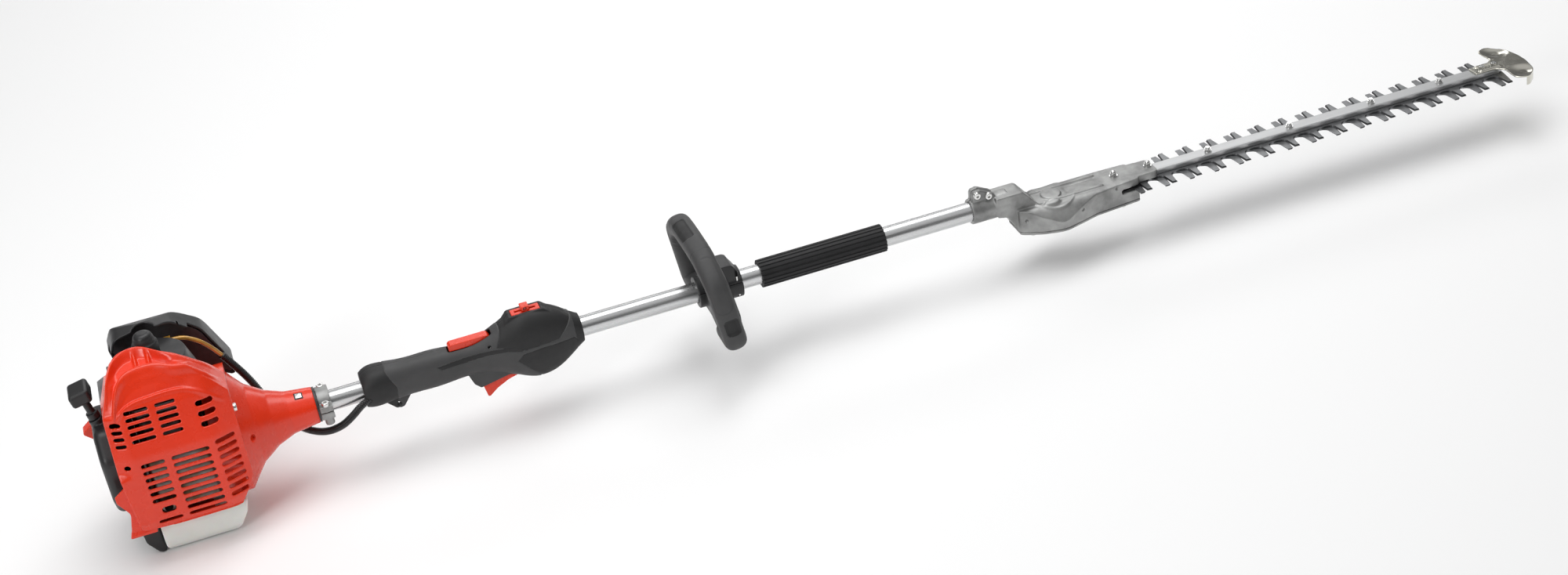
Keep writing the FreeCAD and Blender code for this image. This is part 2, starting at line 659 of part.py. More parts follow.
@functools.cache
def grip_body():
    outer = loft(GRIP_SECTIONS)
    lip = [(-220, -18, 2), (-216, -30, 4), (-209, -37, 2), (-172, -30, 12), (-150, -38, 4), (-150, -12, 1),
           (-220, -12, 1)]
    hood = prism("xz", lip, -11, 11)
    lug = prism("xz", [(-330, -16, 2), (-312, -35, 5), (-303, -35, 5), (-288, -16, 2)], -4.5, 4.5)
    roof = prism("xz", [(-172, 30, 2), (-158, 46, 4), (-116, 46, 5), (-98, 30, 2)], -11, 11)
    body = fuse(outer, hood, lug, roof)
    bore = rod(TUBE_R + FIT, V(-360, 0, 0), AX, 320)
    core = loft([(x, a, b, z) for x, a, b, z in GRIP_SECTIONS[2:-1]], -GRIP_WALL)
    core = core.common(block(-288, -92, -40, 40, -60, 60))
    ribs = [sleeve(30, TUBE_R + FIT, V(x, 0, 0), AX, 4) for x in (-260, -244, -112)]
    for rib in ribs:
        core = core.cut(rib)
    trigger_slot = block(-208.5, -148, -7, 7, -60, -10)
    lockout_slot = block(-237.5, -182.5, -7.4, 7.4, 14, 60)
    switch_slot = block(-154, -118, -7.6, 7.6, 34, 60)
    lug_hole = rod(2.6, V(-308, -10, -29.5), AY, 20)
    entry = bent_tube(CONDUIT_ROUTE, CONDUIT_R + 0.02)
    body = cut(body, bore, core, trigger_slot, lockout_slot, switch_slot, lug_hole, entry)
    body = fuse(body, trigger_bosses())
    return body.cut(rod(2.0, TRIGGER_PIVOT - AY * 20, AY, 40)).cut(rod(2.0, LOCKOUT_PIVOT - AY * 20, AY, 40))


def trigger_bosses():
    """Bosses inside the shell that carry the trigger pin and the lockout pin."""
    bosses = []
    for side in (-1, 1):
        start = 7.0 if side > 0 else -14.0
        bosses.append(rod(4.2, TRIGGER_PIVOT + AY * start, AY, 7))
        bosses.append(rod(3.4, LOCKOUT_PIVOT + AY * (7.5 if side > 0 else -14), AY, 6.5))
    return bosses[0].multiFuse(bosses[1:])


def grip_shell_right():
    return largest_solid(grip_body().common(block(-400, 0, -60, 0, -90, 90)))


def grip_shell_left():
    return largest_solid(grip_body().common(block(-400, 0, 0, 60, -90, 90)))


def trigger_pins():
    pins = [rod(1.98, TRIGGER_PIVOT - AY * 13.5, AY, 27), rod(1.98, LOCKOUT_PIVOT - AY * 13.5, AY, 27)]
    return Part.makeCompound(pins)


def throttle_trigger():
    corners = [(-207, -32.5, 1), (-202.5, -56, 2), (-189, -46, 14), (-174, -39, 10), (-158, -35, 4),
               (-151, -30, 3), (-151, -20, 4), (-160, -18, 3), (-168, -23, 4)]
    body = prism("xz", corners, -6.2, 6.2)
    return body.cut(rod(2.0 + FIT, TRIGGER_PIVOT - AY * 10, AY, 20))


def lockout_lever():
    corners = [(-236, 21, 1), (-236, 26.5, 2.5), (-233, 29, 2), (-187, 29, 4), (-184, 24, 3), (-184, 15, 2),
               (-193, 15, 2), (-197, 20.5, 1)]
    body = prism("xz", corners, -6.6, 6.6)
    return body.cut(rod(2.0 + FIT, LOCKOUT_PIVOT - AY * 10, AY, 20))


def switch_plate():
    plate = rounded(block(-153.9, -118.1, -7.5, 7.5, 34, SWITCH_TOP), 0.8)
    return plate.cut(block(SWITCH_X - 13, SWITCH_X + 13, -2, 2, 38, 60))


def stop_switch():
    knob = rounded(block(SWITCH_X - 5.2, SWITCH_X + 5.2, -6.4, 6.4, SWITCH_TOP + 0.3, SWITCH_TOP + 6.5), 1.2)
    stem = block(SWITCH_X - 3, SWITCH_X + 3, -1.6, 1.6, 39, SWITCH_TOP + 2)
    return fuse(knob, stem).cut(rod(2.2, V(SWITCH_X, -10, SWITCH_TOP + 3.4), AY, 20))


# ---- loop handle and foam -------------------------------------------------------------------
def loop_x(z):
    """The loop leans back: its top sits behind its lower corners."""
    return 80.0 + (LOOP_TOP - z) * 0.13


def loop_route():
    points = []
    for y, z in ((-58, LOOP_BOTTOM + 1), (-LOOP_HALF, LOOP_BOTTOM), (-LOOP_HALF + 5, 44), (-52, LOOP_TOP - 2),
                 (0, LOOP_TOP + 2), (52, LOOP_TOP - 2), (LOOP_HALF - 5, 44), (LOOP_HALF, LOOP_BOTTOM),
                 (58, LOOP_BOTTOM + 1)):
        points.append(V(loop_x(z), y, z))
    return points


def loop_handle():
    return bent_tube(loop_route(), LOOP_BAR_R)


def loop_bracket_solid():
    barrel = rod(20, V(74, 0, 0), AX, 57)
    arm = [(-57, -40, 6), (-57, -15, 6), (-22, 12, 12), (22, 12, 12), (57, -15, 6), (57, -40, 6),
           (20, -26, 20), (-20, -26, 20)]
    arms = prism("yz", arm, 84, 112)
    crown = prism("xz", [(92, 33, 5), (120, 33, 8), (130.5, 14, 6), (130.5, 0, 1), (92, 0, 1)], -17, 17)
    return fuse(barrel, arms, crown)


def loop_parts(upper):
    body = loop_bracket_solid().cut(rod(TUBE_R + FIT, V(70, 0, 0), AX, 70))
    half = block(60, 140, -100, 100, 6.4, 60) if upper else block(60, 140, -100, 100, -60, 5.6)
    body = body.common(half)
    for x, _ in LOOP_SCREWS:
        for y in (-LOOP_SCREW_Y, LOOP_SCREW_Y):
            body = body.cut(rod(2.2, V(x, y, -30), AZ, 80))
    return largest_solid(body)


def loop_clamp_cap():
    return loop_parts(True)


def loop_bracket():
    return loop_parts(False)


def foam_grip():
    body = sleeve(FOAM_R, TUBE_R + FIT, V(FOAM_REAR, 0, 0), AX, FOAM_FRONT - FOAM_REAR)
    for i in range(20):
        angle = math.radians(18 * i)
        groove = rod(1.3, V(FOAM_REAR - 1, FOAM_R * math.cos(angle), FOAM_R * math.sin(angle)), AX,
                     FOAM_FRONT - FOAM_REAR + 2)
        body = body.cut(groove)
    return body


# ---- cutter head ----------------------------------------------------------------------------
CASE_PLAN = [(497, -20, 6), (506, -26, 10), (524, -35, 14), (CRANK_X, -43, 34), (578, -35, 14), (600, -28, 12),
             (664, -22, 4), (664, 22, 4), (600, 28, 12), (578, 35, 14), (CRANK_X, 43, 34), (524, 35, 14),
             (506, 26, 10), (497, 20, 6)]
NOSE_PLAN = [(620, -21, 4), (693, -17, 5), (693, 17, 5), (620, 21, 4)]


def case_outside():
    pan = prism("xy", CASE_PLAN, CASE_SEAM, CASE_TOP)
    nose = prism("xy", NOSE_PLAN, -24.4, CASE_TOP)
    neck_side = [(470, 15, 2), (507, 15, 8), (527, -10, 6), (527, -30, 1), (497, CASE_SEAM, 2), (484, -15, 4),
                 (470, -12, 4)]
    neck = prism("xz", neck_side, -16, 16)
    collar = rod(COLLAR_R, V(HEAD_REAR, 0, 0), AX, 50)
    ears = prism("xz", [(HEAD_REAR + 2, 8, 1), (HEAD_REAR + 4, 29, 5), (HEAD_REAR + 14, 30, 5), (472, 20, 6),
                        (474, 8, 1)], -8, 8)
    ridges = [rounded(block(522, 616, side * 15 - 2.4, side * 15 + 2.4, CASE_TOP - 1, CASE_TOP + 2), 1.1)
              for side in (-1, 1)]
    dome = rod(13, V(CRANK_X, 0, CASE_TOP - 1), AZ, 3.4)
    return fuse(pan, nose, neck, collar, ears, dome, *ridges)


def case_inside():
    crank_room = rod(CASE_R - 2.5, V(CRANK_X, 0, -41), AZ, 41 - 16.5)
    counter_room = rod(17.4, V(COUNTER_X, 0, -41), AZ, 41 - 12)
    bevel_room = rod(13.6, V(COUNTER_X, 0, -12.5), AZ, 9.3).common(block(494, 523.5, -14, 14, -14, 0))
    pinion_room = rod(9.2, V(pinion_back_x() - 9, 0, 0), AX, 19)
    bearing_seat = rod(11.02, V(pinion_back_x() - 16.1, 0, 0), AX, 7.2)
    channel = block(COUNTER_X + 20, 650, -17, 17, -41, -18.9)
    mouth = block(638, 700, -46, 19.5, -25, -18.9)
    bar_seat = block(BAR_REAR - 0.2, 700, -BAR_HALF - 0.1, BAR_HALF + 0.1, -19, BAR_BOTTOM + BAR_THICK + 0.02)
    tube_bore = rod(TUBE_R + FIT, V(HEAD_REAR - 1, 0, 0), AX, TUBE_FRONT - HEAD_REAR + 1.1)
    shaft_bore = rod(6.6, V(470, 0, 0), AX, 30)
    split = block(HEAD_REAR - 1, 470, -0.8, 0.8, 8, 40)
    return [crank_room, counter_room, bevel_room, pinion_room, bearing_seat, channel, mouth, bar_seat, tube_bore,
            shaft_bore, split]


def gear_case():
    body = cut(case_outside(), *case_inside())
    top_seat = rod(6.52, V(CRANK_X, 0, -18), AZ, 5.0)
    studs = [rod(3.02, V(x, 0, -25), AZ, 30) for x in CASE_STUD_X]
    clamp = [rod(2.5, V(x, -12, z), AY, 24) for x, z in ((HEAD_REAR + 9, 24.5), (HEAD_REAR + 24, 20))]
    return largest_solid(cut(body, top_seat, *studs, *clamp))


def gear_case_cover():
    plate = prism("xy", CASE_PLAN, CASE_BOTTOM, CASE_SEAM)
    pan = rod(30, V(CRANK_X, 0, CASE_BOTTOM - 1.5), AZ, 3)
    seats = [rod(7.02, V(CRANK_X, 0, -41.4), AZ, 5), rod(5.02, V(COUNTER_X, 0, -41.4), AZ, 5)]
    holes = [rod(1.65, V(x, y, CASE_BOTTOM - 1), AZ, 6) for x, y in CASE_SCREW_PLACES]
    return cut(fuse(plate, pan), *seats, *holes)


CASE_SCREW_PLACES = [(512, -24), (586, -26), (640, -20), (512, 24), (586, 26), (640, 20)]


def case_screws():
    places = CASE_SCREW_PLACES
    screws = [cap_screw(V(x, y, CASE_BOTTOM), -AZ, 2.8, 2.0, 1.6, 3.2) for x, y in places]
    clamp = [cap_screw(V(HEAD_REAR + 9, -8, 24.5), -AY, 4.6, 4, 2.4, 15),
             cap_screw(V(HEAD_REAR + 24, -8, 20), -AY, 4.6, 4, 2.4, 15)]
    return Part.makeCompound(screws + clamp)


def head_bearings():
    rings = [sleeve(6.5, 4.0 + FIT, V(CRANK_X, 0, -16.9), AZ, 3.8),
             sleeve(7.0, 4.0 + FIT, V(CRANK_X, 0, -41.3), AZ, 4.6),
             sleeve(5.0, 3.0 + FIT, V(COUNTER_X, 0, -41.3), AZ, 4.6)]
    return Part.makeCompound(rings + shaft_bearing())


SPUR_Z, SPUR_HEIGHT = -34.0, 6.0
UPPER_BLADE_Z = BAR_BOTTOM - BLADE_GAP - BLADE_THICK
LOWER_BLADE_Z = UPPER_BLADE_Z - BLADE_GAP - BLADE_THICK


def counter_gear():
    """Bevel wheel and spur pinion on one upright shaft."""
    pinion_r = BEVEL_MODULE * BEVEL_PINION_TEETH / 2
    half_tooth = math.pi / BEVEL_GEAR_TEETH
    wheel = bevel_gear(BEVEL_GEAR_TEETH, BEVEL_MODULE, V(COUNTER_X, 0, 0), -AZ, AX, AY, pinion_r, half_tooth)
    disc = rod(8.6, V(COUNTER_X, 0, -pinion_r - 3), AZ, 3.1)
    shaft = rod(3.0, V(COUNTER_X, 0, -41.0), AZ, 16.0)
    waist = rod(2.6, V(COUNTER_X, 0, -26.0), AZ, 26.0 - pinion_r)
    hub = rod(5, V(COUNTER_X, 0, -17.5), AZ, 10)
    spur = spur_gear(SPUR_PINION_TEETH, SPUR_MODULE, V(COUNTER_X, 0, SPUR_Z), SPUR_HEIGHT, 0.0)
    return fuse(wheel, disc, shaft, waist, hub, spur)


def crank_gear():
    """Driven gear with two cams set half a turn apart, one for each blade."""
    phase = math.pi + math.pi / SPUR_GEAR_TEETH
    wheel = spur_gear(SPUR_GEAR_TEETH, SPUR_MODULE, V(CRANK_X, 0, SPUR_Z + 0.5), SPUR_HEIGHT - 1, phase)
    shaft = rod(4.0, V(CRANK_X, 0, -41.0), AZ, 41.0 - 14)
    swing = math.sqrt(THROW**2 - REST_SHIFT**2)
    step = LOWER_BLADE_Z + BLADE_THICK + 0.1
    floor = SPUR_Z + SPUR_HEIGHT - 1
    lower = rod(CAM_R, V(CRANK_X - REST_SHIFT, swing, floor), AZ, step - floor)
    upper = rod(CAM_R, V(CRANK_X + REST_SHIFT, -swing, step), AZ, 3.6)
    return fuse(wheel, shaft, lower, upper)


def tooth_edge(first_x, count, side):
    """Corners of one edge of the blade, from tail to tip: tapered teeth with rounded gullets."""
    corners = []
    for i in range(count):
        x = first_x + i * TOOTH_PITCH
        corners += [(x - TOOTH_ROOT_HALF, side * SPINE_HALF, TOOTH_ROOT_FILLET),
                    (x - TOOTH_TIP_HALF, side * TOOTH_REACH, 0.4), (x + TOOTH_TIP_HALF, side * TOOTH_REACH, 0.4),
                    (x + TOOTH_ROOT_HALF, side * SPINE_HALF, TOOTH_ROOT_FILLET)]
    return corners


def blade_plan():
    near = tooth_edge(*NEAR_TEETH, -1)
    far = tooth_edge(*FAR_TEETH, 1)
    corners = [(594, -11, 2), (648, -11, 3)] + near[:-1] + [(BLADE_FRONT + 5, -9, 3), (BLADE_FRONT + 5, 9, 3)]
    corners += [(BLADE_FRONT - 4, SPINE_HALF, 2)] + far[::-1] + [(690, SPINE_HALF, 3), (680, 11, 3), (594, 11, 2)]
    return prism("xy", corners, 0, BLADE_THICK)


YOKE_REACH_X, YOKE_REACH_Y = CAM_R + 2 * THROW + 0.5, CAM_R + THROW + 1.0
YOKE_WALL_X, YOKE_WALL_Y = 3.5, 4.5


def rounded_plan(half_x, half_y, radius, bottom, top, centre_x=0.0):
    """Upright plate with four rounded corners."""
    signs = ((-1, -1), (1, -1), (1, 1), (-1, 1))
    return prism("xy", [(centre_x + sx * half_x, sy * half_y, radius) for sx, sy in signs], bottom, top)


def yoke():
    """Oblong ring at the blade's tail, long enough for the cam to turn inside it."""
    outer = rounded_plan(YOKE_REACH_X + YOKE_WALL_X, YOKE_REACH_Y + YOKE_WALL_Y, 12, 0, BLADE_THICK, CRANK_X)
    inner = rounded_plan(YOKE_REACH_X, YOKE_REACH_Y, 11, -1, BLADE_THICK + 1, CRANK_X)
    return outer, inner


def blade(z, shift):
    outer, inner = yoke()
    tail = block(CRANK_X + YOKE_REACH_X, 600, -9, 9, 0, BLADE_THICK)
    plate = fuse(blade_plan(), outer, tail).cut(inner)
    slots = [rounded_plan(THROW + 4.2, 3.5, 3.4, -1, BLADE_THICK + 1, x) for x in CASE_STUD_X + BAR_BOLT_X]
    tip_slot = rounded_plan(22.5, 3.0, 2.9, -1, BLADE_THICK + 1, TIP_SCREW_X[0] + 10)
    plate = cut(plate, tip_slot, *slots)
    plate = largest_solid(plate)
    plate.translate(V(shift, 0, z))
    return plate


def upper_blade():
    return blade(UPPER_BLADE_Z, REST_SHIFT)


def lower_blade():
    return blade(LOWER_BLADE_Z, -REST_SHIFT)


def guide_bar():
    top, bevel = BAR_BOTTOM + BAR_THICK, 1.2
    plan = prism("xy", [(BAR_REAR, -BAR_HALF, 1), (BAR_FRONT - 8, -BAR_HALF, 2), (BAR_FRONT, -5, 2),
                        (BAR_FRONT, 5, 2), (BAR_FRONT - 8, BAR_HALF, 2), (BAR_REAR, BAR_HALF, 1)],
                 BAR_BOTTOM, top)
    section = prism("yz", [(-BAR_HALF, BAR_BOTTOM, 0), (-BAR_HALF, top - bevel, 0), (bevel - BAR_HALF, top, 0),
                           (BAR_HALF - bevel, top, 0), (BAR_HALF, top - bevel, 0), (BAR_HALF, BAR_BOTTOM, 0)],
                    BAR_REAR, BAR_FRONT)
    holes = [rod(3.02, V(x, 0, BAR_BOTTOM - 1), AZ, BAR_THICK + 2) for x in CASE_STUD_X + BAR_BOLT_X]
    holes += [rod(2.42, V(x, 0, BAR_BOTTOM - 1), AZ, BAR_THICK + 2) for x in TIP_SCREW_X]
    return cut(plan.common(section), *holes)


def blade_stack_bolt(x, top, radius, nut):
    """Bolt through the bar and both blades, with a nut above and a washer and head below."""
    floor = LOWER_BLADE_Z - 0.3
    shank = rod(radius, V(x, 0, floor - 1), AZ, top - floor + nut * 0.9)
    nut_body = hex_prism(V(x, 0, top), AZ, nut, nut * 0.5)
    washer_top = rod(nut * 0.62, V(x, 0, top), AZ, 1.0)
    washer = rod(nut * 0.72, V(x, 0, floor - 1.2), AZ, 1.2)
    head = hex_prism(V(x, 0, floor - 4.2), AZ, nut, 3.0)
    return fuse(shank, nut_body, washer_top, washer, head)


def bar_bolts():
    bolts = [blade_stack_bolt(x, BAR_BOTTOM + BAR_THICK, 3.0, 8.0) for x in BAR_BOLT_X]
    return Part.makeCompound(bolts + tip_screws())


def case_studs():
    studs = []
    for x in CASE_STUD_X:
        base = hex_prism(V(x, 0, CASE_TOP), AZ, 8.0, 4.5)
        dome = Part.makeSphere(3.7, V(x, 0, CASE_TOP + 4.6))
        washer = rod(5.4, V(x, 0, CASE_TOP), AZ, 1.2)
        floor = LOWER_BLADE_Z - 0.3
        shank = rod(3.0, V(x, 0, floor - 1), AZ, CASE_TOP - floor + 2)
        collar = rod(5.8, V(x, 0, floor - 1.2), AZ, 1.2)
        head = hex_prism(V(x, 0, floor - 4.2), AZ, 8.0, 3.0)
        studs.append(fuse(base, dome, washer, shank, collar, head))
    return Part.makeCompound(studs)


def tip_guard():
    """Sheet guard at the tip: a ribbed channel over the bar and two rounded lobes in front of the blades."""
    top = BAR_BOTTOM + BAR_THICK
    plan = [(1162, -9.5, 1), (1190, -10, 4), (1200, -18, 6), (1198, -46, 9), (1214, -53, 10), (1232, -36, 18),
            (1237, -10, 20), (1237, 10, 20), (1232, 36, 18), (1214, 53, 10), (1198, 46, 9), (1200, 18, 6),
            (1190, 10, 4), (1162, 9.5, 1)]
    sheet = prism("xy", plan, top, top + 2.0)
    lip = prism("xy", plan, top - 12, top + 2).cut(inset_prism("xy", plan, top - 13, top + 3, 2.0))
    lip = lip.common(block(1212, 1240, -60, 60, -60, 60))
    rib = rounded(block(1170, 1200, 4.6, 8.4, top + 1, top + 4), 1.2)
    ribs = fuse(rib, rib.mirror(V(0, 0, 0), AY))
    holes = [rod(2.42, V(x, 0, top - 1), AZ, 5) for x in TIP_SCREW_X]
    return cut(fuse(sheet, lip, ribs), *holes)


def tip_screws():
    top = BAR_BOTTOM + BAR_THICK + 2.0
    screws = []
    for x in TIP_SCREW_X:
        nut = hex_prism(V(x, 0, top), AZ, 7.0, 3.6)
        shank = rod(2.4, V(x, 0, LOWER_BLADE_Z - 1.2), AZ, top - LOWER_BLADE_Z + 5.8)
        washer = rod(4.6, V(x, 0, LOWER_BLADE_Z - 1.4), AZ, 1.0)
        screws.append(fuse(nut, shank, washer))
    return screws


NODES = [
    drive_tube, shaft_bushings, drive_shaft, clutch_drum, bevel_pinion,
    engine_cover, fan_cover, neck_gasket, neck_clamp_upper, neck_clamp_lower, clamp_bolts, cover_screws,
    crankcase, cylinder, piston, muffler, spark_plug, spark_plug_cap, ignition_coil, crankshaft, flywheel,
    clutch_shoes, starter_pulley, starter_housing, starter_handle, rear_shield,
    fuel_tank, fuel_cap, tank_guard, carburetor, primer_bulb, air_cleaner_base, air_filter, air_cleaner_cover,
    choke_lever, throttle_cable, cable_conduit,
    grip_shell_right, grip_shell_left, trigger_pins, throttle_trigger, lockout_lever, switch_plate, stop_switch,
    loop_handle, loop_clamp_cap, loop_bracket, foam_grip,
    gear_case, gear_case_cover, case_screws, head_bearings, counter_gear, crank_gear,
    upper_blade, lower_blade, guide_bar, bar_bolts, case_studs, tip_guard,
]


def main():
    os.makedirs("parts", exist_ok=True)
    for node in NODES:
        shape = node()
        name = node.__name__
        if not shape.isValid() or shape.Volume <= 0:
            print("CHECK", name, shape.isValid(), shape.Volume)
        shape.exportStep("parts/%s.step" % name)


main()
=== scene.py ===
"""Looks of the pole hedge trimmer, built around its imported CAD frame. Metres, +X along the shaft, +Z up."""

import json
import math

import bmesh
import bpy
from mathutils import Matrix, Vector
from mathutils.bvhtree import BVHTree


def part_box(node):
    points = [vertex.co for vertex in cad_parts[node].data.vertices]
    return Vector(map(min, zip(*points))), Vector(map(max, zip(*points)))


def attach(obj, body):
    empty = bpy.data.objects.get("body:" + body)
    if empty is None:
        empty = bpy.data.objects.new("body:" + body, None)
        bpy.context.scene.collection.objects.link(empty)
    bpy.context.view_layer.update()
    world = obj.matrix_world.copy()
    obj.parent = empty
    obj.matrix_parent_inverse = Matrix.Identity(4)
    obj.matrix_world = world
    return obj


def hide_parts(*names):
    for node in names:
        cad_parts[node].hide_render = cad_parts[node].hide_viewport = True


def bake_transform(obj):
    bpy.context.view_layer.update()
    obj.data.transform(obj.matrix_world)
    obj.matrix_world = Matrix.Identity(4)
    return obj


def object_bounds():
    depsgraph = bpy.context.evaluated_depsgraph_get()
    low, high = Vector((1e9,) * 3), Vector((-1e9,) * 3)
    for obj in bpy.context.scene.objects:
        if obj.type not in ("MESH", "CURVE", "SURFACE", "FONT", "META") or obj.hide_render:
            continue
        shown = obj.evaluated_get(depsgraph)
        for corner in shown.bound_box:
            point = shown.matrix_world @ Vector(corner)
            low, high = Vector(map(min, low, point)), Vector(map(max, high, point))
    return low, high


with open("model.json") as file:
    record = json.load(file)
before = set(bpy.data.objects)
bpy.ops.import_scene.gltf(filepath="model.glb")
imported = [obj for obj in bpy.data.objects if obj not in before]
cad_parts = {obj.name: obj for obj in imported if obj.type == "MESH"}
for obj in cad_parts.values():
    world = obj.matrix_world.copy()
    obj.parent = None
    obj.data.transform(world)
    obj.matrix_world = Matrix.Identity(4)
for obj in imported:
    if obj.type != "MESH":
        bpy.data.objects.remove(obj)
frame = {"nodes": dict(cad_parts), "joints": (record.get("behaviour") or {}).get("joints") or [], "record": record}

CAD_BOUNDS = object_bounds()
NODES = frame["nodes"]
SCENE = bpy.context.scene
MM = 0.001


# ---- camera, floor and light ----------------------------------------------------------------
def add_camera():
    """Camera at the tool's right, 30 degrees above it, turned and rolled as the view needs."""
    elevation, azimuth, roll = math.radians(30.0), math.radians(13.891), math.radians(9.475)
    forward = Vector((math.sin(azimuth) * math.cos(elevation), math.cos(azimuth) * math.cos(elevation),
                      -math.sin(elevation)))
    level_right = Vector((math.cos(azimuth), -math.sin(azimuth), 0))
    level_up = level_right.cross(forward)
    right = level_right * math.cos(roll) - level_up * math.sin(roll)
    up = level_right * math.sin(roll) + level_up * math.cos(roll)
    data = bpy.data.cameras.new("camera")
    data.sensor_width = 36.0
    data.lens = 54.0
    camera = bpy.data.objects.new("camera", data)
    SCENE.collection.objects.link(camera)
    turn = Matrix((right, up, -forward)).transposed().to_4x4()
    camera.matrix_world = Matrix.Translation((-0.42369, -2.46165, 1.43513)) @ turn
    SCENE.camera = camera


def add_floor():
    """Plain pale floor, half a millimetre below the tool."""
    half, height = 14.0, CAD_BOUNDS[0][2] - 0.0005
    corners = [(-half, -half), (half, -half), (half, half), (-half, half)]
    mesh = bpy.data.meshes.new("floor")
    mesh.from_pydata([(x, y, height) for x, y in corners], [], [(0, 1, 2, 3)])
    floor = bpy.data.objects.new("floor", mesh)
    SCENE.collection.objects.link(floor)
    material = bpy.data.materials.new("floor")
    material.use_nodes = True
    shader = material.node_tree.nodes["Principled BSDF"]
    shader.inputs["Base Color"].default_value = (0.93, 0.93, 0.93, 1)
    shader.inputs["Roughness"].default_value = 0.9
    mesh.materials.append(material)


def add_area_light(name, place, target, size, power):
    data = bpy.data.lights.new(name, "AREA")
    data.shape = "RECTANGLE"
    data.size, data.size_y = size
    data.energy = power
    light = bpy.data.objects.new(name, data)
    SCENE.collection.objects.link(light)
    light.location = place
    light.rotation_euler = (Vector(target) - Vector(place)).to_track_quat("-Z", "Y").to_euler()


def add_world():
    """Soft studio surround, bright overhead and darker towards the horizon, for the metal to reflect."""
    world = bpy.data.worlds.new("studio")
    SCENE.world = world
    world.use_nodes = True
    tree = world.node_tree
    background = tree.nodes["Background"]
    direction = tree.nodes.new("ShaderNodeTexCoord")
    split = tree.nodes.new("ShaderNodeSeparateXYZ")
    ramp = tree.nodes.new("ShaderNodeValToRGB")
    tree.links.new(direction.outputs["Generated"], split.inputs[0])
    tree.links.new(split.outputs["Z"], ramp.inputs[0])
    tree.links.new(ramp.outputs[0], background.inputs["Color"])
    ramp.color_ramp.elements[0].position = 0.0
    ramp.color_ramp.elements[1].position = 0.72
    ramp.color_ramp.elements.new(0.16)
    ramp.color_ramp.elements.new(0.46)
    for element, level in zip(ramp.color_ramp.elements, (0.55, 0.22, 0.30, 1.0)):
        element.color = (level, level, level, 1)
    background.inputs["Strength"].default_value = 0.62


def add_stage():
    SCENE.view_settings.view_transform = "Standard"
    add_camera()
    add_floor()
    add_world()
    add_area_light("overhead", (0.1, 0.3, 2.6), (0.3, 0, 0), (4.0, 1.4), 52)
    add_area_light("front_left", (-2.4, -2.2, 1.6), (-0.4, 0, 0), (1.0, 1.0), 26)
    add_area_light("behind", (0.8, 2.6, 1.2), (0.4, 0, 0), (3.5, 0.6), 16)


# ---- materials ------------------------------------------------------------------------------
def new_material(name, color, roughness, metallic=0.0, **sockets):
    """Material with its shader, ready for detail. Constant sockets are set by name."""
    material = bpy.data.materials.new(name)
    material.use_nodes = True
    shader = material.node_tree.nodes["Principled BSDF"]
    shader.inputs["Base Color"].default_value = (*color, 1)
    shader.inputs["Roughness"].default_value = roughness
    shader.inputs["Metallic"].default_value = metallic
    for socket, value in sockets.items():
        shader.inputs[socket.replace("_", " ")].default_value = value
    return material


def place_nodes(tree, stretch):
    """Object coordinates, stretched so that a pattern can run along one direction."""
    coordinate = tree.nodes.new("ShaderNodeTexCoord")
    mapping = tree.nodes.new("ShaderNodeMapping")
    mapping.inputs["Scale"].default_value = stretch
    tree.links.new(coordinate.outputs["Object"], mapping.inputs["Vector"])
    return mapping.outputs["Vector"]


def noise_nodes(tree, scale, detail=4.0, stretch=(1, 1, 1)):
    texture = tree.nodes.new("ShaderNodeTexNoise")
    texture.inputs["Scale"].default_value = scale
    texture.inputs["Detail"].default_value = detail
    texture.inputs["Roughness"].default_value = 0.55
    tree.links.new(place_nodes(tree, stretch), texture.inputs["Vector"])
    return texture.outputs["Fac"]


def range_nodes(tree, value, low, high, to_low, to_high):
    remap = tree.nodes.new("ShaderNodeMapRange")
    tree.links.new(value, remap.inputs["Value"])
    for socket, number in zip(("From Min", "From Max", "To Min", "To Max"), (low, high, to_low, to_high)):
        remap.inputs[socket].default_value = number
    return remap.outputs["Result"]


def mix_nodes(tree, factor, first, second):
    """Colour mix of two colours or sockets."""
    mix = tree.nodes.new("ShaderNodeMix")
    mix.data_type = "RGBA"
    tree.links.new(factor, mix.inputs[0])
    for socket, value in ((mix.inputs[6], first), (mix.inputs[7], second)):
        if isinstance(value, bpy.types.NodeSocket):
            tree.links.new(value, socket)
        else:
            socket.default_value = (*value, 1)
    return mix.outputs[2]


def vary_color(material, scale, amount, stretch=(1, 1, 1)):
    """Slow light and dark variation of the base colour."""
    tree = material.node_tree
    socket = tree.nodes["Principled BSDF"].inputs["Base Color"]
    color = tuple(socket.default_value)[:3]
    darker = tuple(c * (1 - amount) for c in color)
    lighter = tuple(min(1.0, c * (1 + amount)) for c in color)
    factor = range_nodes(tree, noise_nodes(tree, scale, 4, stretch), 0.35, 0.65, 0, 1)
    tree.links.new(mix_nodes(tree, factor, darker, lighter), socket)


def vary_roughness(material, scale, spread, stretch=(1, 1, 1)):
    tree = material.node_tree
    socket = tree.nodes["Principled BSDF"].inputs["Roughness"]
    middle = socket.default_value
    value = noise_nodes(tree, scale, 5, stretch)
    tree.links.new(range_nodes(tree, value, 0.3, 0.7, middle - spread, middle + spread), socket)


def add_bump(material, scale, strength, distance, stretch=(1, 1, 1), detail=3.0):
    """Fine relief of the surface. Repeated calls stack."""
    tree = material.node_tree
    shader = tree.nodes["Principled BSDF"]
    bump = tree.nodes.new("ShaderNodeBump")
    bump.inputs["Strength"].default_value = strength
    bump.inputs["Distance"].default_value = distance
    tree.links.new(noise_nodes(tree, scale, detail, stretch), bump.inputs["Height"])
    if shader.inputs["Normal"].is_linked:
        tree.links.new(shader.inputs["Normal"].links[0].from_socket, bump.inputs["Normal"])
    tree.links.new(bump.outputs["Normal"], shader.inputs["Normal"])


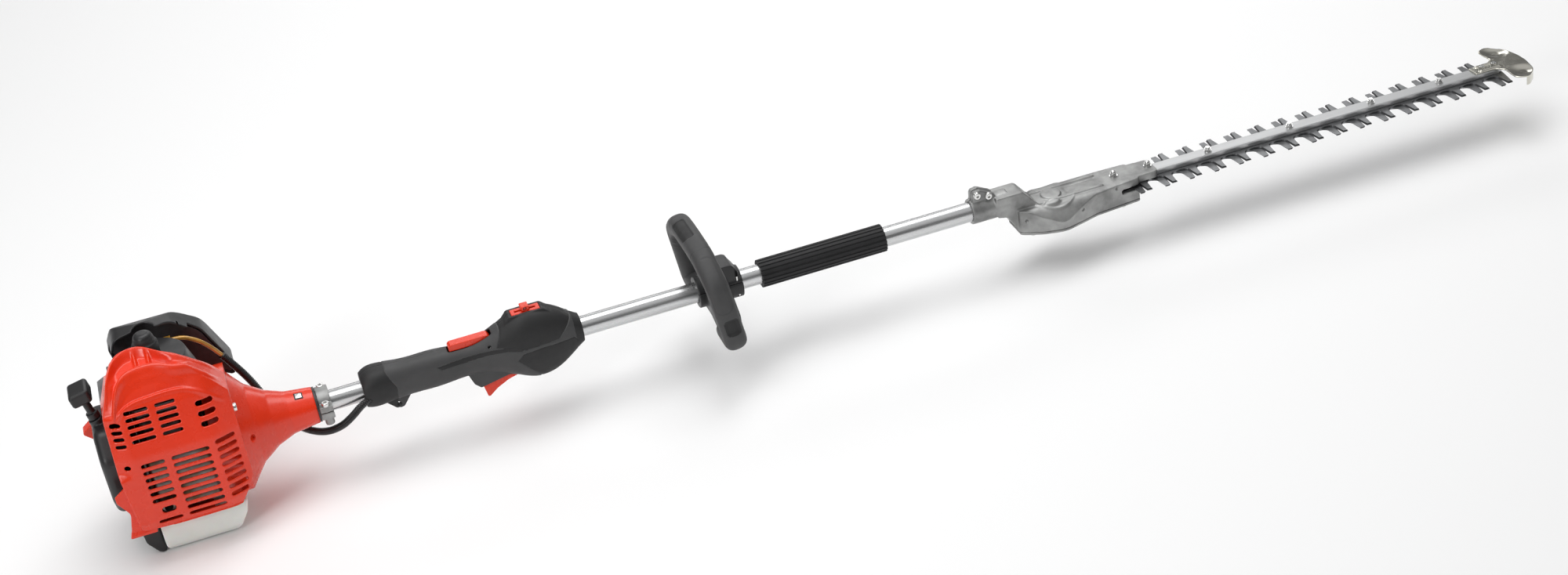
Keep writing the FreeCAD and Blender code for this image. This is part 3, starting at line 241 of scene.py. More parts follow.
def wear_edges(material, color, amount):
    """Rubbed edges: convex places take a lighter tone, broken up by noise."""
    tree = material.node_tree
    socket = tree.nodes["Principled BSDF"].inputs["Base Color"]
    geometry = tree.nodes.new("ShaderNodeNewGeometry")
    edge = range_nodes(tree, geometry.outputs["Pointiness"], 0.53, 0.60, 0, amount)
    multiply = tree.nodes.new("ShaderNodeMath")
    multiply.operation = "MULTIPLY"
    tree.links.new(edge, multiply.inputs[0])
    tree.links.new(noise_nodes(tree, 160, 3), multiply.inputs[1])
    base = socket.links[0].from_socket if socket.is_linked else tuple(socket.default_value)[:3]
    tree.links.new(mix_nodes(tree, multiply.outputs[0], base, color), socket)


def orange_plastic():
    material = new_material("orange_plastic", (0.76, 0.032, 0.004), 0.27, Coat_Weight=0.10,
                            Coat_Roughness=0.10)
    vary_color(material, 9, 0.05)
    vary_roughness(material, 55, 0.06)
    add_bump(material, 420, 0.05, 0.0004)
    wear_edges(material, (0.92, 0.16, 0.06), 0.35)
    return material


def black_plastic():
    material = new_material("black_plastic", (0.014, 0.014, 0.015), 0.42)
    vary_color(material, 14, 0.18)
    vary_roughness(material, 70, 0.07)
    add_bump(material, 1500, 0.12, 0.0002)
    wear_edges(material, (0.09, 0.09, 0.095), 0.5)
    return material


def gloss_black():
    material = new_material("gloss_black", (0.010, 0.010, 0.011), 0.22)
    vary_color(material, 14, 0.18)
    vary_roughness(material, 60, 0.07)
    add_bump(material, 900, 0.06, 0.0002)
    return material


def soft_grip(name, color):
    material = new_material(name, color, 0.58)
    vary_color(material, 24, 0.08)
    vary_roughness(material, 90, 0.06)
    add_bump(material, 2200, 0.22, 0.0002)
    wear_edges(material, tuple(c * 2.2 for c in color), 0.4)
    return material


def foam_rubber():
    material = new_material("foam_rubber", (0.009, 0.009, 0.010), 0.62)
    vary_color(material, 60, 0.25)
    add_bump(material, 1600, 0.35, 0.0003, detail=6)
    add_bump(material, 240, 0.15, 0.0006)
    return material


def drawn_tube():
    material = new_material("drawn_tube", (0.60, 0.605, 0.61), 0.27, 1.0)
    vary_color(material, 30, 0.05, (0.03, 1, 1))
    vary_roughness(material, 240, 0.07, (0.02, 1, 1))
    add_bump(material, 900, 0.06, 0.0002, (0.02, 1, 1))
    return material


def cast_alloy():
    material = new_material("cast_alloy", (0.32, 0.322, 0.318), 0.48, 0.85)
    vary_color(material, 38, 0.24)
    vary_roughness(material, 120, 0.09)
    add_bump(material, 1300, 0.35, 0.0004, detail=6)
    add_bump(material, 120, 0.10, 0.0008)
    wear_edges(material, (0.58, 0.58, 0.57), 0.7)
    return material


def extruded_bar():
    material = new_material("extruded_bar", (0.56, 0.565, 0.57), 0.42, 1.0)
    vary_color(material, 60, 0.05, (0.02, 1, 1))
    vary_roughness(material, 400, 0.07, (0.02, 1, 1))
    add_bump(material, 1400, 0.08, 0.0002, (0.015, 1, 1))
    return material


def ground_blade():
    material = new_material("ground_blade", (0.22, 0.224, 0.23), 0.38, 1.0)
    vary_color(material, 45, 0.14, (0.4, 1, 1))
    vary_roughness(material, 500, 0.08, (1, 0.06, 1))
    add_bump(material, 1500, 0.10, 0.0002, (1, 0.05, 1))
    return material


def tooth_bevel_shade():
    """Ground cutting faces of the teeth, scored across; their darker tone than the flats is painted shade of the
    sloping faces.
    """
    material = new_material("tooth_bevel_shade", (0.12, 0.122, 0.126), 0.36, 1.0)
    vary_roughness(material, 900, 0.10, (0.1, 1, 1))
    add_bump(material, 2500, 0.2, 0.0002, (0.08, 1, 1))
    return material


def machined_steel():
    material = new_material("machined_steel", (0.52, 0.52, 0.53), 0.32, 1.0)
    vary_color(material, 80, 0.08)
    vary_roughness(material, 300, 0.08)
    add_bump(material, 1800, 0.08, 0.0002)
    return material


def bright_zinc():
    material = new_material("bright_zinc", (0.74, 0.74, 0.73), 0.20, 1.0)
    vary_color(material, 40, 0.06)
    vary_roughness(material, 180, 0.07)
    add_bump(material, 700, 0.05, 0.0003)
    return material


def guard_zinc():
    material = new_material("guard_zinc", (0.62, 0.605, 0.54), 0.17, 1.0)
    vary_color(material, 22, 0.08)
    vary_roughness(material, 90, 0.06)
    add_bump(material, 60, 0.12, 0.0012)
    add_bump(material, 1500, 0.05, 0.0002, (1, 0.1, 1))
    return material


def tank_plastic():
    material = new_material("tank_plastic", (0.82, 0.81, 0.77), 0.38, Subsurface_Weight=0.25,
                            Subsurface_Scale=0.01)
    vary_color(material, 18, 0.04)
    vary_roughness(material, 80, 0.06)
    add_bump(material, 500, 0.10, 0.0003)
    return material


def muffler_steel():
    """Heat-tinted sheet, straw to brown over grey."""
    material = new_material("muffler_steel", (0.20, 0.18, 0.16), 0.42, 1.0)
    tree = material.node_tree
    factor = range_nodes(tree, noise_nodes(tree, 26, 3), 0.4, 0.62, 0, 1)
    tint = mix_nodes(tree, factor, (0.22, 0.21, 0.20), (0.13, 0.085, 0.05))
    tree.links.new(tint, tree.nodes["Principled BSDF"].inputs["Base Color"])
    vary_roughness(material, 120, 0.1)
    add_bump(material, 900, 0.12, 0.0003)
    return material


def cast_iron():
    material = new_material("cast_iron", (0.20, 0.20, 0.205), 0.5, 0.9)
    vary_color(material, 60, 0.15)
    add_bump(material, 1200, 0.3, 0.0003)
    return material


def glazed_ceramic():
    material = new_material("glazed_ceramic", (0.80, 0.79, 0.75), 0.2)
    vary_color(material, 50, 0.03)
    add_bump(material, 300, 0.04, 0.0003)
    return material


def filter_paper():
    material = new_material("filter_paper", (0.62, 0.55, 0.38), 0.9)
    vary_color(material, 200, 0.10)
    add_bump(material, 900, 0.5, 0.0005, (0.2, 1, 1))
    return material


def tinted_sheath():
    """Amber sheath of the throttle cable, with the steel liner showing through."""
    material = new_material("tinted_sheath", (0.52, 0.27, 0.045), 0.22, 0.25, Coat_Weight=0.6,
                            Coat_Roughness=0.08)
    vary_color(material, 120, 0.22)
    vary_roughness(material, 200, 0.06)
    add_bump(material, 600, 0.06, 0.0003)
    return material


MATERIALS = {
    "shaft_alloy": drawn_tube(), "steel": machined_steel(), "bolt_steel": bright_zinc(),
    "cast_alloy": cast_alloy(), "orange": orange_plastic(), "black_plastic": black_plastic(),
    "grey_soft": soft_grip("grey_soft", (0.047, 0.047, 0.048)), "foam": foam_rubber(),
    "tank": tank_plastic(), "muffler_steel": muffler_steel(), "iron": cast_iron(),
    "ceramic": glazed_ceramic(), "paper": filter_paper(), "cable_gold": tinted_sheath(),
    "blade_steel": ground_blade(), "zinc": guard_zinc(), "bar_alloy": extruded_bar(),
}
BLACK_SOFT = soft_grip("black_soft", (0.011, 0.011, 0.0115))
GLOSS_BLACK = gloss_black()


def finish_cad_nodes():
    """Every CAD node takes the procedural material of its slot."""
    for entry in frame["record"]["subparts"]:
        mesh = NODES[entry["node"]].data
        mesh.materials.clear()
        mesh.materials.append(MATERIALS[entry["material_slot"]])


SLOT_OF = {entry["node"]: entry["material_slot"] for entry in frame["record"]["subparts"]}
BODIES = frame["record"]["behaviour"]["bodies"]
BODY_OF = {node: body for body, members in BODIES.items() for node in members}


# ---- helpers --------------------------------------------------------------------------------
def link_mesh(name, mesh, material=None, smooth=True):
    piece = bpy.data.objects.new(name, mesh)
    SCENE.collection.objects.link(piece)
    if material:
        mesh.materials.append(material)
    if smooth:
        mesh.shade_smooth()
    return piece


def apply_modifiers(piece):
    bpy.context.view_layer.update()
    evaluated = piece.evaluated_get(bpy.context.evaluated_depsgraph_get())
    mesh = bpy.data.meshes.new_from_object(evaluated)
    piece.modifiers.clear()
    piece.data = mesh
    return piece


def settle(piece, body, slot, *nodes):
    """The piece rides a body and, where nodes are named, stands for them. The slot is not used."""
    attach(piece, body)
    if nodes:
        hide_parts(*nodes)
    return piece


def moulded_copy(node, voxel, passes, blocks=()):
    """Copy of a CAD node with the small edge radii of a moulding or casting, ready to be reshaped."""
    piece = link_mesh(node + "_body", NODES[node].data.copy())
    if blocks:
        cut_blocks(piece, blocks)
    remesh = piece.modifiers.new("remesh", "REMESH")
    remesh.mode = "VOXEL"
    remesh.voxel_size = voxel * MM
    relax = piece.modifiers.new("relax", "SMOOTH")
    relax.factor, relax.iterations = 0.5, passes
    apply_modifiers(piece)
    piece.data.materials.clear()
    piece.data.materials.append(MATERIALS[SLOT_OF[node]])
    piece.data.shade_smooth()
    return piece


def softened(node, voxel, passes, reshape=None, blocks=()):
    """The moulded copy of a node, with each point (mm) moved by reshape, in the node's place."""
    piece = moulded_copy(node, voxel, passes, blocks)
    if reshape:
        for vertex in piece.data.vertices:
            vertex.co = reshape(vertex.co / MM) * MM
    return settle(piece, BODY_OF[node], SLOT_OF[node], node)


# ---- engine cover ---------------------------------------------------------------------------
def smooth_step(value, low, high):
    t = min(1.0, max(0.0, (value - low) / (high - low)))
    return t * t * (3 - 2 * t)


def curve_at(points, x):
    """Height of a smooth line through (x, y) points, level beyond its ends."""
    if x <= points[0][0]:
        return points[0][1]
    if x >= points[-1][0]:
        return points[-1][1]
    index = next(i for i in range(1, len(points)) if x <= points[i][0])
    (x0, y0), (x1, y1) = points[index - 1], points[index]

    def slope(i):
        before, after = points[max(0, i - 1)], points[min(len(points) - 1, i + 1)]
        return (after[1] - before[1]) / (after[0] - before[0]) * (x1 - x0)

    t = (x - x0) / (x1 - x0)
    start, end = slope(index - 1), slope(index)
    return ((2 * t**3 - 3 * t**2 + 1) * y0 + (t**3 - 2 * t**2 + t) * start
            + (3 * t**2 - 2 * t**3) * y1 + (t**3 - t**2) * end)


def hump(distance, width):
    """Round ridge profile, one at the middle and nothing beyond the width."""
    return math.cos(min(1.0, abs(distance) / width) * math.pi / 2) ** 2


COVER_AXIS_Y, COVER_AXIS_Z = -20.0, 30.0     # line about which the cover's features are placed by angle
# Lines of the cover's relief, as (x, degrees about that axis)
CREST = [(-626, 62), (-616, 77), (-606, 88), (-592, 93.5), (-572, 93), (-553, 86), (-537, 82), (-520, 82),
         (-505, 84)]
BROW = [(-622, 50), (-615, 62), (-605, 70.5), (-590, 75), (-565, 75.5), (-544, 71), (-524, 69), (-508, 66)]
PANEL_TOP = [(-628, 40), (-618, 51), (-604, 57), (-580, 59), (-545, 59), (-526, 55), (-512, 48), (-500, 41)]
# The roof's highest line, as (x, y) and (x, z)
CREST_Y = [(-617, -36), (-610, -22), (-592, -15), (-574, -16), (-553, -30), (-537, -33), (-525, -29),
           (-507, -22), (-493, -20)]
CREST_Z = [(-617, 135), (-610, 141), (-592, 146), (-574, 146), (-553, 141), (-537, 134), (-525, 124),
           (-507, 106), (-493, 88)]
CYLINDER_X = -568
FAN_RADIUS = 79.0


def cover_roof(x, y):
    """Height (mm) of the roof: the crest, falling away behind it, but above the cylinder and the fan."""
    crest_y, crest_z = curve_at(CREST_Y, x), curve_at(CREST_Z, x)
    over_cylinder = 123.0 - 3.0 * max(0.0, math.hypot(x - CYLINDER_X, y) - 42)
    over_fan = math.sqrt(max(0.0, FAN_RADIUS**2 - y**2)) if x > -530 else 0.0
    return max(crest_z - 0.62 * max(0.0, y - crest_y), over_cylinder, over_fan)


def lower_roof(piece):
    """Brings the cover's roof down to its crest line; the walls shorten with it."""
    mesh = piece.data
    tree = BVHTree.FromPolygons([v.co for v in mesh.vertices], [p.vertices[:] for p in mesh.polygons])
    for vertex in mesh.vertices:
        x, y, z = vertex.co / MM
        if z < 40:
            continue
        top = tree.ray_cast(Vector((vertex.co.x, vertex.co.y, 0.3)), Vector((0, 0, -1)))[0]
        if top is None:
            continue
        fall = max(0.0, top.z / MM - cover_roof(x, y))
        vertex.co.z -= fall * smooth_step(z, 36, top.z / MM - 4) * MM


def cover_relief(point):
    """How far the skin stands out (mm) at a point (mm): two arched ridges and the valley between."""
    angle = math.degrees(math.atan2(point.z - COVER_AXIS_Z, COVER_AXIS_Y - point.y))
    if angle < 30 or angle > 115 or point.x < -636:
        return 0.0
    crest, brow, panel = (curve_at(line, point.x) for line in (CREST, BROW, PANEL_TOP))
    ends = smooth_step(point.x, -636, -622) * (1 - smooth_step(point.x, -512, -497))
    relief = 2.2 * hump(angle - crest, 4.5) + 4.2 * hump(angle - brow, 4.5)
    valley = smooth_step(angle, brow + 1.5, brow + 6) * (1 - smooth_step(angle, crest - 5.5, crest - 1.0))
    bridges = max(hump(point.x + 583, 3.5), hump(point.x + 568, 3.5))
    length = smooth_step(point.x, -618, -606) * (1 - smooth_step(point.x, -552, -524))
    relief -= 7.5 * valley * length * (1 - 0.6 * bridges)
    slope = smooth_step(angle, panel, panel + 3) * (1 - smooth_step(angle, brow - 9, brow - 3))
    relief += 1.4 * hump(angle - panel, 3.0) - 2.6 * slope * length
    return relief * ends


def shape_cover(point):
    """Moves a point (mm) of the cover: ridges, rolled corners and the bottom lip."""
    outward = Vector((0, point.y - COVER_AXIS_Y, point.z - COVER_AXIS_Z)).normalized()
    moved = point + outward * cover_relief(point)
    if point.y < -55:
        side = 1 - smooth_step(point.y, -72, -55)
        moved.y += side * 14.4 * smooth_step(point.x, -528, -480)
        moved.y += side * 7.0 * (1 - smooth_step(point.x, -640, -612)) * smooth_step(point.z, 22, 34)
        moved.y -= side * 2.0 * (1 - smooth_step(point.z, -52.5, -49.5))
    return moved


def cutter_block(x0, x1, y0, y1, z0, z1, bevel):
    """Block (mm) with its four edges along Y rounded."""
    mesh = bpy.data.meshes.new("cutter")
    work = bmesh.new()
    bmesh.ops.create_cube(work, size=1.0)
    for vertex in work.verts:
        vertex.co = Vector(((x0 + x1) / 2 + vertex.co.x * (x1 - x0),
                            (y0 + y1) / 2 + vertex.co.y * (y1 - y0),
                            (z0 + z1) / 2 + vertex.co.z * (z1 - z0))) * MM
    half_length = 0.5 * MM * (y1 - y0)
    rims = [edge for edge in work.edges if abs(edge.verts[0].co.y - edge.verts[1].co.y) > half_length]
    bmesh.ops.bevel(work, geom=rims, offset=bevel * MM, segments=4, affect="EDGES", profile=0.5)
    work.to_mesh(mesh)
    work.free()
    return mesh


def cut_blocks(piece, blocks):
    """Boolean difference of the piece with a list of blocks (mm)."""
    joined = bmesh.new()
    for values in blocks:
        joined.from_mesh(cutter_block(*values))
    mesh = bpy.data.meshes.new("cutters")
    joined.to_mesh(mesh)
    joined.free()
    cutter = bpy.data.objects.new("cutters", mesh)
    SCENE.collection.objects.link(cutter)
    boolean = piece.modifiers.new("cut", "BOOLEAN")
    boolean.operation = "DIFFERENCE"
    boolean.object = cutter
    apply_modifiers(piece)
    bpy.data.objects.remove(cutter)


def shape_air_cleaner(point):
    """Draws the near rim of the air cleaner cover back in one line towards the front."""
    back = 12.0 * smooth_step(point.x, -556, -529) * (1 - smooth_step(point.y, 50, 66))
    return point + Vector((0, back if point.x < -528 else 0.0, 0))


def engine_cover():
    """Glossy engine cover: the CAD shell with moulded radii, arched ridges and small rear vents."""
    vents = [(-629, -617, -100, -60, z - 2.2, z + 2.2, 2.1) for z in (88, 80, 72, 64)]
    vents.append((-627, -620, -100, -60, 35, 41, 2.9))
    piece = moulded_copy("engine_cover", 0.85, 5, vents)
    lower_roof(piece)
    mesh = piece.data
    for vertex in mesh.vertices:
        vertex.co = shape_cover(vertex.co / MM) * MM
    mesh.materials.append(MATERIALS["black_plastic"])
    for face in mesh.polygons:
        x, y, z = face.center / MM
        face.material_index = 1 if z > 84 and x < -512 and y > curve_at(CREST_Y, x) + 8 else 0
    return settle(piece, "frame", "orange", "engine_cover")


# Black sheet inside the engine bay, painted shade: its corners, radius, place, thickness and grid
SHADE_SHEET_LOW, SHADE_SHEET_HIGH, SHADE_SHEET_CORNER = (-611, -43), (-522, 46), 8     # x, z of two corners, their radius
SHADE_SHEET_Y, SHADE_SHEET_THICK = 40.6, 1.2
SHADE_SHEET_CELLS = 60


def shade_sheet_point(i, j, side):
    """Point (mm) of the sheet: upright ribs in the middle, and corners drawn in towards the middle."""
    (x0, z0), (x1, z1) = SHADE_SHEET_LOW, SHADE_SHEET_HIGH
    x, z = x0 + (x1 - x0) * i / SHADE_SHEET_CELLS, z0 + (z1 - z0) * j / SHADE_SHEET_CELLS
    rim = box_reach(x, z, x0, x1, z0, z1, SHADE_SHEET_CORNER)
    ribs = 0.9 * hump(((x + 566) % 18) - 9, 3.0) * smooth_step(rim, 5, 10)
    drawn_in = 0.7 * min(0.0, rim) * (1 if x > -566 else -1)
    return Vector((x + drawn_in, SHADE_SHEET_Y + side + ribs, z))


def engine_bay_shade_sheet():
    """Pressed black sheet that closes the far side of the engine bay behind the cylinder's foot: painted shade for
    the inside of the bay.
    """
    count, step = SHADE_SHEET_CELLS, SHADE_SHEET_CELLS + 1
    work = bmesh.new()
    layers = [[work.verts.new(shade_sheet_point(i, j, side) * MM) for i in range(step) for j in range(step)]
              for side in (0.0, SHADE_SHEET_THICK)]
    for grid, flip in ((layers[0], False), (layers[1], True)):
        for i in range(count):
            for j in range(count):
                a = i * step + j
                ring = [grid[a], grid[a + step], grid[a + step + 1], grid[a + 1]]
                work.faces.new(ring[::-1] if flip else ring)
    border = [j for j in range(count)] + [i * step + count for i in range(count)]
    border += [count * step + j for j in range(count, 0, -1)] + [i * step for i in range(count, 0, -1)]
    for a, b in zip(border, border[1:] + border[:1]):
        work.faces.new([layers[0][a], layers[0][b], layers[1][b], layers[1][a]])
    bmesh.ops.recalc_face_normals(work, faces=work.faces)
    mesh = bpy.data.meshes.new("engine_bay_shade_sheet")
    work.to_mesh(mesh)
    work.free()
    piece = link_mesh("engine_bay_shade_sheet", mesh, MATERIALS["black_plastic"])
    return settle(piece, "frame", "black_plastic")


FAN_DIMPLE = Vector((-482.7, -53.7, 11.6))


def shape_fan_cover(point):
    """A round dimple on the near side of the fan housing."""
    depth = 5.0 * (1 - smooth_step((point - FAN_DIMPLE).length, 2.6, 4.8))
    return point - Vector((0, point.y, point.z)).normalized() * depth


BADGE_X, BADGE_ANGLE = -420, 110
NECK_RADIUS, NECK_TAPER = 24.1, 0.125       # at the badge's middle


def badge_layer(name, half_x, half_turn, lift, slot):
    """Bent plate on the neck: its half length, half angle (degrees) and height above the skin (mm)."""
    section = [(-half_x, -0.6), (-half_x, lift - 0.2), (-half_x + 0.3, lift), (half_x - 0.3, lift),
               (half_x, lift - 0.2), (half_x, -0.6)]
    rings = []
    for i in range(13):
        turn = math.radians(BADGE_ANGLE + half_turn * (i / 6 - 1))
        ring = []
        for x, height in section:
            radius = NECK_RADIUS - NECK_TAPER * x + height
            ring.append(Vector((BADGE_X + x, radius * math.cos(turn), radius * math.sin(turn))) * MM)
        rings.append(ring)
    settle(swept_loop(name, rings, MATERIALS[slot]), "frame", "bolt_steel")


def neck_badge():
    """Plain metal badge in a dark frame, wrapped on the neck."""
    badge_layer("neck_badge_frame", 5.0, 11.0, 0.5, "black_plastic")
    badge_layer("neck_badge_plate", 3.8, 8.0, 0.9, "bolt_steel")


def lathe(name, profile, centre, material):
    """Solid of revolution about the vertical through centre, from (radius, height) pairs (mm)."""
    segments = 72
    rings = []
    for radius, height in profile:
        ring = [Vector((centre[0] + radius * math.cos(2 * math.pi * i / segments),
                        centre[1] + radius * math.sin(2 * math.pi * i / segments), height)) * MM
                for i in range(segments)]
        rings.append(ring)
    return swept_loop(name, rings, material)


def plug_cap():
    """Moulded rubber cap over the spark plug, in two steps."""
    low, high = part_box("spark_plug_cap")
    centre = ((low.x + high.x) / 2 / MM, 0.0)
    top = high.z / MM
    depths = [(12, 32), (15, 30), (15.2, 14), (14.6, 12.6), (12.8, 12), (12.6, 9), (11.6, 5.5), (9.4, 2.6),
              (6.2, 0.9), (3, 0.2), (0.4, 0)]
    profile = [(radius, top - depth) for radius, depth in depths]
    piece = lathe("plug_cap_body", profile, centre, BLACK_SOFT)
    rounding = piece.modifiers.new("round", "SUBSURF")
    rounding.levels = 1
    apply_modifiers(piece)
    settle(piece, "frame", "black_plastic")


def swept_loop(name, rings, material):
    """Skin through rings of points (metres), capped at both ends."""
    work = bmesh.new()
    rows = [[work.verts.new(point) for point in ring] for ring in rings]
    count = len(rows[0])
    for lower, upper in zip(rows, rows[1:]):
        for i in range(count):
            j = (i + 1) % count
            work.faces.new((lower[i], lower[j], upper[j], upper[i]))
    work.faces.new(rows[0][::-1])
    work.faces.new(rows[-1])
    bmesh.ops.recalc_face_normals(work, faces=work.faces)
    mesh = bpy.data.meshes.new(name)
    work.to_mesh(mesh)
    work.free()
    return link_mesh(name, mesh, material)


# ---- rear grip ------------------------------------------------------------------------------
def inside_polygon(corners, x, z):
    """Signed distance (mm) to a polygon, positive inside."""
    inside, nearest = False, 1e9
    for (x0, z0), (x1, z1) in zip(corners, corners[1:] + corners[:1]):
        if (z0 > z) != (z1 > z) and x < x0 + (z - z0) * (x1 - x0) / (z1 - z0):
            inside = not inside
        length = (x1 - x0) ** 2 + (z1 - z0) ** 2
        t = min(1.0, max(0.0, ((x - x0) * (x1 - x0) + (z - z0) * (z1 - z0)) / length))
        nearest = min(nearest, math.hypot(x - x0 - t * (x1 - x0), z - z0 - t * (z1 - z0)))
    return nearest if inside else -nearest


# Outlines (x, z) of the grip's black panels
GRIP_BOOT = [(-360, 60), (-316, 60), (-316, 24), (-307, 3), (-310, -60), (-360, -60)]
GRIP_STRIPE = [(-255, 11.5), (-250, 6.5), (-218, 7), (-189, 9), (-169, 8.5), (-152, 5), (-150, 8),
               (-158, 13.5), (-189, 14), (-214, 13), (-239, 12)]
GRIP_HOUSING = [(-172, 60), (-172, 36), (-175, 27), (-181, 16), (-166, 13), (-158, 12), (-148, 5.5),
                (-127, 6.5), (-106, 7.5), (-86, 25), (-98, 36), (-98, 60)]
GRIP_LOWER = [(-160, -7.5), (-152, 0.5), (-128, 2.5), (-87, 1), (-80, -10), (-90, -30), (-110, -60),
              (-134, -60), (-135, -38)]
GRIP_RING = [(-84, -60), (-84, 60), (-60, 60), (-60, -60)]
GRIP_PANELS = (GRIP_BOOT, GRIP_STRIPE, GRIP_HOUSING, GRIP_LOWER, GRIP_RING)


def grip_shell(side):
    """Half of the rear grip: grey soft skin with sunk black panels and a black boot."""
    node = "grip_shell_" + side
    piece = moulded_copy(node, 0.7, 6)
    mesh = piece.data
    depth_of = {}
    for vertex in mesh.vertices:
        point = vertex.co / MM
        reach = max(inside_polygon(panel, point.x, point.z) for panel in GRIP_PANELS)
        depth_of[vertex.index] = reach
        outward = Vector((0, point.y, point.z)).normalized()
        groove = hump(reach, 1.1)
        vertex.co -= outward * (0.5 * smooth_step(reach, -0.4, 0.8) + 0.7 * groove) * MM
    mesh.materials.clear()
    mesh.materials.append(MATERIALS["grey_soft"])
    mesh.materials.append(BLACK_SOFT)
    for face in mesh.polygons:
        face.material_index = 1 if sum(depth_of[v] for v in face.vertices) > 0 else 0
    mesh.shade_smooth()
    return settle(piece, "frame", "grey_soft", node)


# ---- loop handle ----------------------------------------------------------------------------
LOOP_HALF_ROUTE = [(58, -27), (74, -27.6), (90, -28), (88.8, -10), (85.6, 34), (83.5, 48), (66, 62),
                   (48, 71.5), (24, 73.6)]                  # y, z of the bar's line, from heel to top
LOOP_LEAN = 0.13                                            # the loop's plane runs forward as it goes down
LOOP_STEP = 0.8                                             # between rings of the bar's skin


def corner_cut(points, rounds):
    """Smooths a list of points by cutting its corners, the ends kept."""
    for _ in range(rounds):
        finer = [points[0]]
        for a, b in zip(points, points[1:]):
            finer += [a * 0.75 + b * 0.25, a * 0.25 + b * 0.75]
        points = finer + [points[-1]]
    return points


def along(points, step):
    """Points at even distances along a line."""
    evened, carried = [points[0]], 0.0
    for a, b in zip(points, points[1:]):
        length = (b - a).length
        while carried + length >= step:
            a = a + (b - a) * ((step - carried) / length)
            evened.append(a)
            length = (b - a).length
            carried = 0.0
        carried += length
    return evened


def loop_centres():
    """Middle line (mm) of the bar, from one heel over the top to the other."""
    route = [(-y, z) for y, z in LOOP_HALF_ROUTE] + [(0, 74)] + LOOP_HALF_ROUTE[::-1]
    points = [Vector((80 + (72 - z) * LOOP_LEAN, y, z)) for y, z in route]
    return along(corner_cut(points, 4), LOOP_STEP)


def box_reach(s, w, s0, s1, w0, w1, corner):
    """Signed distance inside a rounded box, positive inside."""
    ds = abs(s - (s0 + s1) / 2) - ((s1 - s0) / 2 - corner)
    dw = abs(w - (w0 + w1) / 2) - ((w1 - w0) / 2 - corner)
    return corner - math.hypot(max(ds, 0), max(dw, 0)) - min(max(ds, dw), 0)


def loop_relief(s, total, turn):
    """Relief (mm) and darkness of the skin at distance s and angle turn (degrees, 0 outward, 90 forward)."""
    mirrored = min(s, total - s)
    w = math.radians(turn) * 14.0
    relief = -0.7 * hump(mirrored - 150, 1.0)
    panel = box_reach(mirrored, w, 74, 138, -13, 9, 9)
    relief -= 0.75 * hump(panel, 1.1)
    relief -= 0.35 * smooth_step(panel, 0, 1.2)
    middle = box_reach(s, w, total / 2 - 17, total / 2 + 34, -14, 4, 5)
    heel = box_reach(mirrored, w, 42, 64, -9, 10, 5)
    relief -= 1.5 * smooth_step(middle, -0.6, 1.2)
    relief -= 2.4 * smooth_step(heel, -0.8, 3.5)
    inner = 180 - abs(turn)
    if inner < 70 and 268 < s < 304:
        relief += 0.9 * max(0.0, math.cos((s - 268) / 7.2 * 2 * math.pi)) * (1 - smooth_step(inner, 40, 70))
    return relief, max(middle, heel)


def loop_handle():
    """Front loop handle: soft oval bar with an inlaid panel on each leg, dark recesses and finger ribs."""
    centres = loop_centres()
    total = LOOP_STEP * (len(centres) - 1)
    normal = Vector((1, 0, LOOP_LEAN)).normalized()
    middle = Vector((83, 0, 20))
    segments, power = 88, 2.5
    half_width, half_depth = 13.2, 14.2
    rings, darkness = [], []
    for i, centre in enumerate(centres):
        tangent = (centres[min(i + 1, len(centres) - 1)] - centres[max(i - 1, 0)]).normalized()
        outward = tangent.cross(normal).normalized()
        if outward.dot(centre - middle) < 0 and abs(centre.y) < 86:
            outward = -outward
        if abs(centre.y) >= 86 and outward.y * centre.y < 0:
            outward = -outward
        ring = []
        for k in range(segments):
            turn = 360.0 * k / segments - 180
            relief, dark = loop_relief(LOOP_STEP * i, total, turn)
            c, n = math.cos(math.radians(turn)), math.sin(math.radians(turn))
            shape = 1 / (abs(c) ** power + abs(n) ** power) ** (1 / power)
            ring.append((centre + outward * c * (half_width * shape + relief)
                         + normal * n * (half_depth * shape + relief)) * MM)
            darkness.append(dark)
        rings.append(ring)
    piece = swept_loop("loop_handle_body", rings, MATERIALS["grey_soft"])
    piece.data.materials.append(BLACK_SOFT)
    for face in piece.data.polygons:
        inside = [darkness[v] for v in face.vertices if v < len(darkness)]
        face.material_index = 1 if sum(inside) / len(inside) > 0 else 0
    return settle(piece, "frame", "grey_soft", "loop_handle")


# ---- throttle conduit and starter rope ------------------------------------------------------
CONDUIT_ROUTE = [(-0.491, 0.0505, 0.072), (-0.480, 0.052, 0.052), (-0.468, 0.052, 0.028),
                 (-0.456, 0.044, 0.0), (-0.443, 0.030, -0.022), (-0.424, 0.013, -0.036),
                 (-0.402, -0.001, -0.0405), (-0.381, -0.011, -0.033), (-0.365, -0.018, -0.019),
                 (-0.352, -0.0195, -0.007), (-0.338, -0.0186, -0.0015)]
CONDUIT_R, CONDUIT_STEP = 0.0047, 0.0006


def route_line(route, name):
    """Points along the NURBS line of a route."""
    curve = bpy.data.curves.new(name, "CURVE")
    curve.dimensions = "3D"
    spline = curve.splines.new("NURBS")
    spline.points.add(len(route) - 1)
    for point, place in zip(spline.points, route):
        point.co = (*place, 1)
    spline.order_u = 3
    spline.use_endpoint_u = True
    spline.resolution_u = 24
    line = bpy.data.objects.new(name, curve)
    SCENE.collection.objects.link(line)
    bpy.context.view_layer.update()
    mesh = bpy.data.meshes.new_from_object(line)
    points = [vertex.co.copy() for vertex in mesh.vertices]
    bpy.data.objects.remove(line)
    return points


